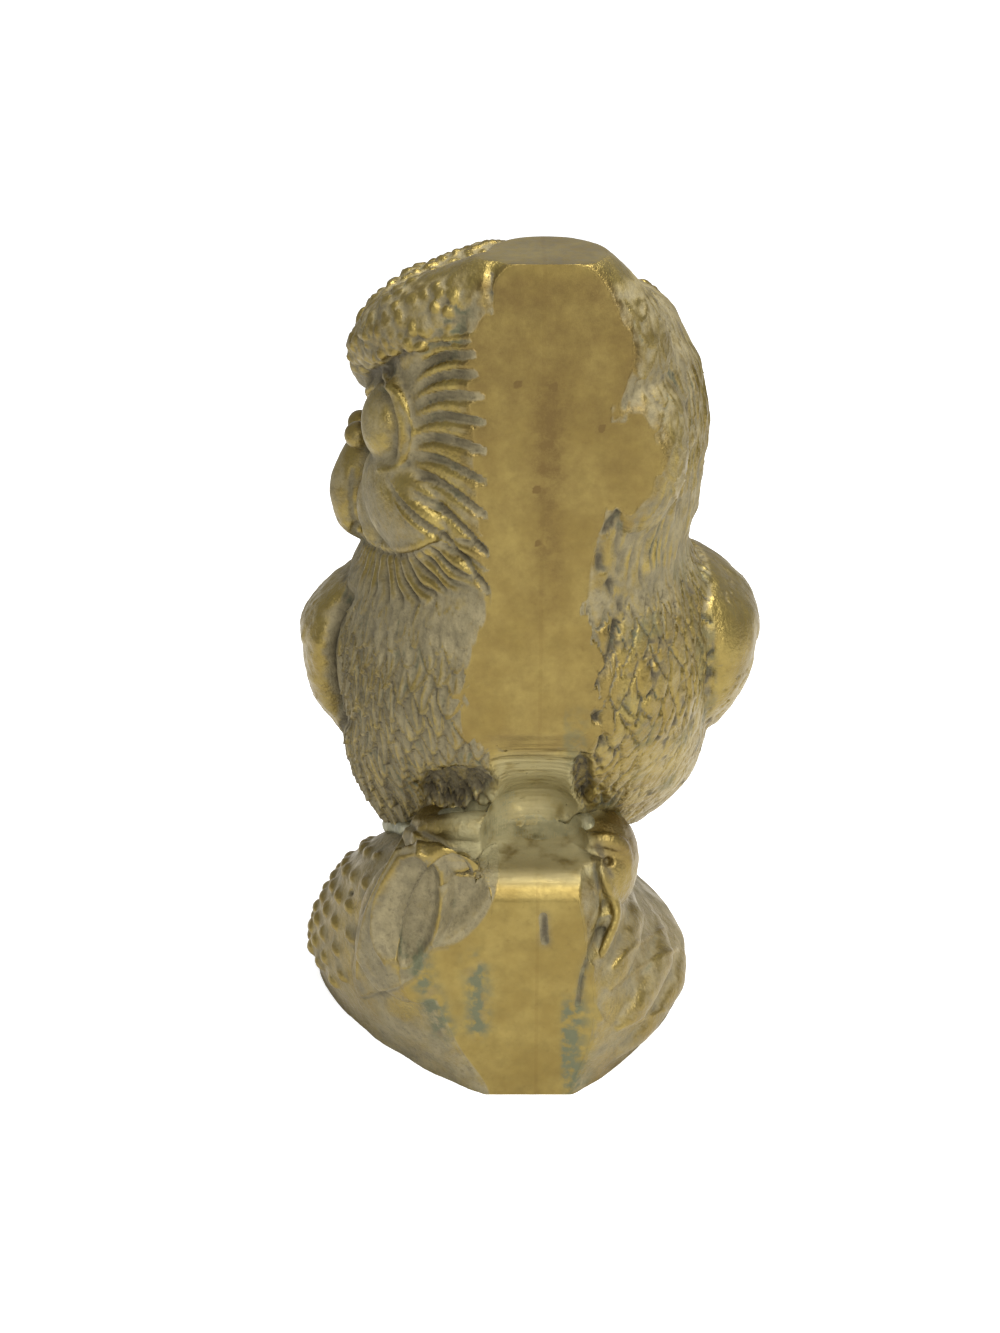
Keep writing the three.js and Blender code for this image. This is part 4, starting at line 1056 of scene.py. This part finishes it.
# Mound: wear, dirt and painted shade
# The bark, a facet left of the band and the tops of the toes are rubbed bright. Verdigris streaks run down
# beside the lobes, the rim of the inner lobe, the creases and the slot pit are darker, painted shade fills
# the claw's slit, and a painted shadow lies beside the leaf's outer layer.
FACET = (404, 1005)
VERDIGRIS = (((475, 966), (478, 990), (478, 1026)), ((419, 962), (424, 984), (434, 1006), (443, 1029)))
BASE_STAIN = ((572, 1016), (568, 1045), (572, 1080))
STAIN_EDGE = 562
CLAW_SLIT = ((598, 846), (604, 860), (611, 876))
LAYER_EDGE = 450   # left of it a painted shadow of the leaf's outer layer runs along the leaf's edge

greens = sum(drawn(streak, 11.0) for streak in VERDIGRIS)
base_stain = drawn(BASE_STAIN, 16.0) * step(-4, 2, view[:, 0] - STAIN_EDGE)
mound_green = 1.4 * greens * step(-0.8, 0.0, noise(place, 1.3, 96)) + 1.3 * base_stain
mound_green = mound_green + 0.25 * drawn(SIDE_CREASE, 6.0)
mound_brown = 0.35 * step(36.5, 38, z) * step(-6, -4, x) + 0.3
leafy = facing * step(-4, 1, layer)
mound_rub = 0.25 + 0.35 * (x > 4) + 0.9 * dotted(FACET, 26, 8, 1.3)
mound_rub = mound_rub - 0.25 * leafy + 1.0 * (z > 30) * (x > 9) + 0.5 * step(-22, -27, x) + 0.6 * (z > 41)
rust = noise(place, 1.6, 97)
# Speckled darkening in the side crease, and painted shade in the claw's slit
mound_grime_and_shade = 0.9 * drawn(SIDE_CREASE, 3.5) * step(-0.6, 0.0, rust) + 0.9 * drawn(CLAW_SLIT, 4.0)
mound_grime_and_shade = mound_grime_and_shade + drawn(SLOT_PIT, 5.5) * step(-0.7, -0.1, rust)
mound_grime_and_shade = mound_grime_and_shade + 0.6 * facing * near(lobe - 1.5, 2.0) * step(-0.5, 0.3, rust)
# Painted shadow of the leaf's outer layer, just outside its edge on the left
mound_grime_and_shade = mound_grime_and_shade + 0.5 * facing * near(layer + 2.5, 2.0) * (view[:, 0] < LAYER_EDGE)
mound_grime_and_shade = mound_grime_and_shade + 0.5 * greens * step(0.0, 0.4, rust)
finish_skin(mound_skin, mound_shape, mound_rub, mound_brown, mound_green, mound_grime_and_shade,
            cleared * step(-0.3, -0.08, relief), leafy)

# Mound: hollow and pieces
# The hollow follows the outside, a wall's thickness within it and behind the ground faces.
hollow_rows = mound_form.rows[:5].copy()
hollow_rows[:, 1:5] = np.minimum(hollow_rows[:, 1:5], (np.inf, np.inf, -FRONT, BACK)) - WALL
hollow_rows[:, 8] = 0.0          # its middle stays on the axis
hollow_rows[-1, 0] -= WALL       # and its roof under the joint
hollow_space = []
Form([tuple(row) for row in hollow_rows]).into(hollow_space, 96, 60)
mound_skin = carve(mound_skin, [*hollow_space, vent])
floor_cut = ((0, 0, 0), (0, 0, -1))
for name, planes, material, slot in (
    ("mound_leaf_half", (floor_cut, face_side), cast_brass, "cast_brass"),
    ("mound_bark_half", (floor_cut, nape_side), cast_brass, "cast_brass"),
    ("mound_seam_braze", (floor_cut, *slab), braze, "braze"),
):
    made = piece(name + "_look", mound_skin, planes, material)
    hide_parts(name)

# Ankle solder
# Layer of soft solder that joins the bird's ankles to the mound. It ran out all round the joint in
# an uneven lumpy fillet.
solder_form = Form([
    (28.2, 21, 12, 18, 20, .5, 2.2), (29, 23.4, 14.4, 21.5, 22.4, .5, 2.2),
    (30, 23.8, 14.8, 22, 22.8, .5, 2.2), (31, 23.4, 14.4, 21, 22.4, .5, 2.2), (32, 21, 12, 17, 20, .5, 2.2),
])
solder = []
solder_form.into(solder, 96, 30)
for place, size in (((-8, -21.2, 42.5), 2.9), ((-5.2, -20.6, 44.2), 2.3), ((-12.5, -20, 41.5), 3.0),
                    ((7, -19.8, 41), 2.4), ((10.5, -16.5, 39.3), 2.4)):
    ball(solder, place, (size, size, size))
solder_skin = cast("solder", solder, 4)
place, normal = read_mesh(solder_skin)
lumps = 0.5 * noise(place, 3.2, 105) + 0.2 * noise(place, 1.3, 106)
even = np.ones(len(place))
finish_skin(solder_skin, place + normal * lumps[:, None], rub=0.2 * even, brown=0 * even, green=0.3 * even,
            grime_and_shade=0 * even)
solder_skin = carve(solder_skin, [vent])
solder_metal = aged_brass("soft solder", bare=(0.30, 0.28, 0.17), patina=(0.25, 0.245, 0.17),
                          dirt_and_shade=(0.09, 0.085, 0.06))
made = piece("ankle_solder_look", solder_skin, (), solder_metal)
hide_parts("ankle_solder")
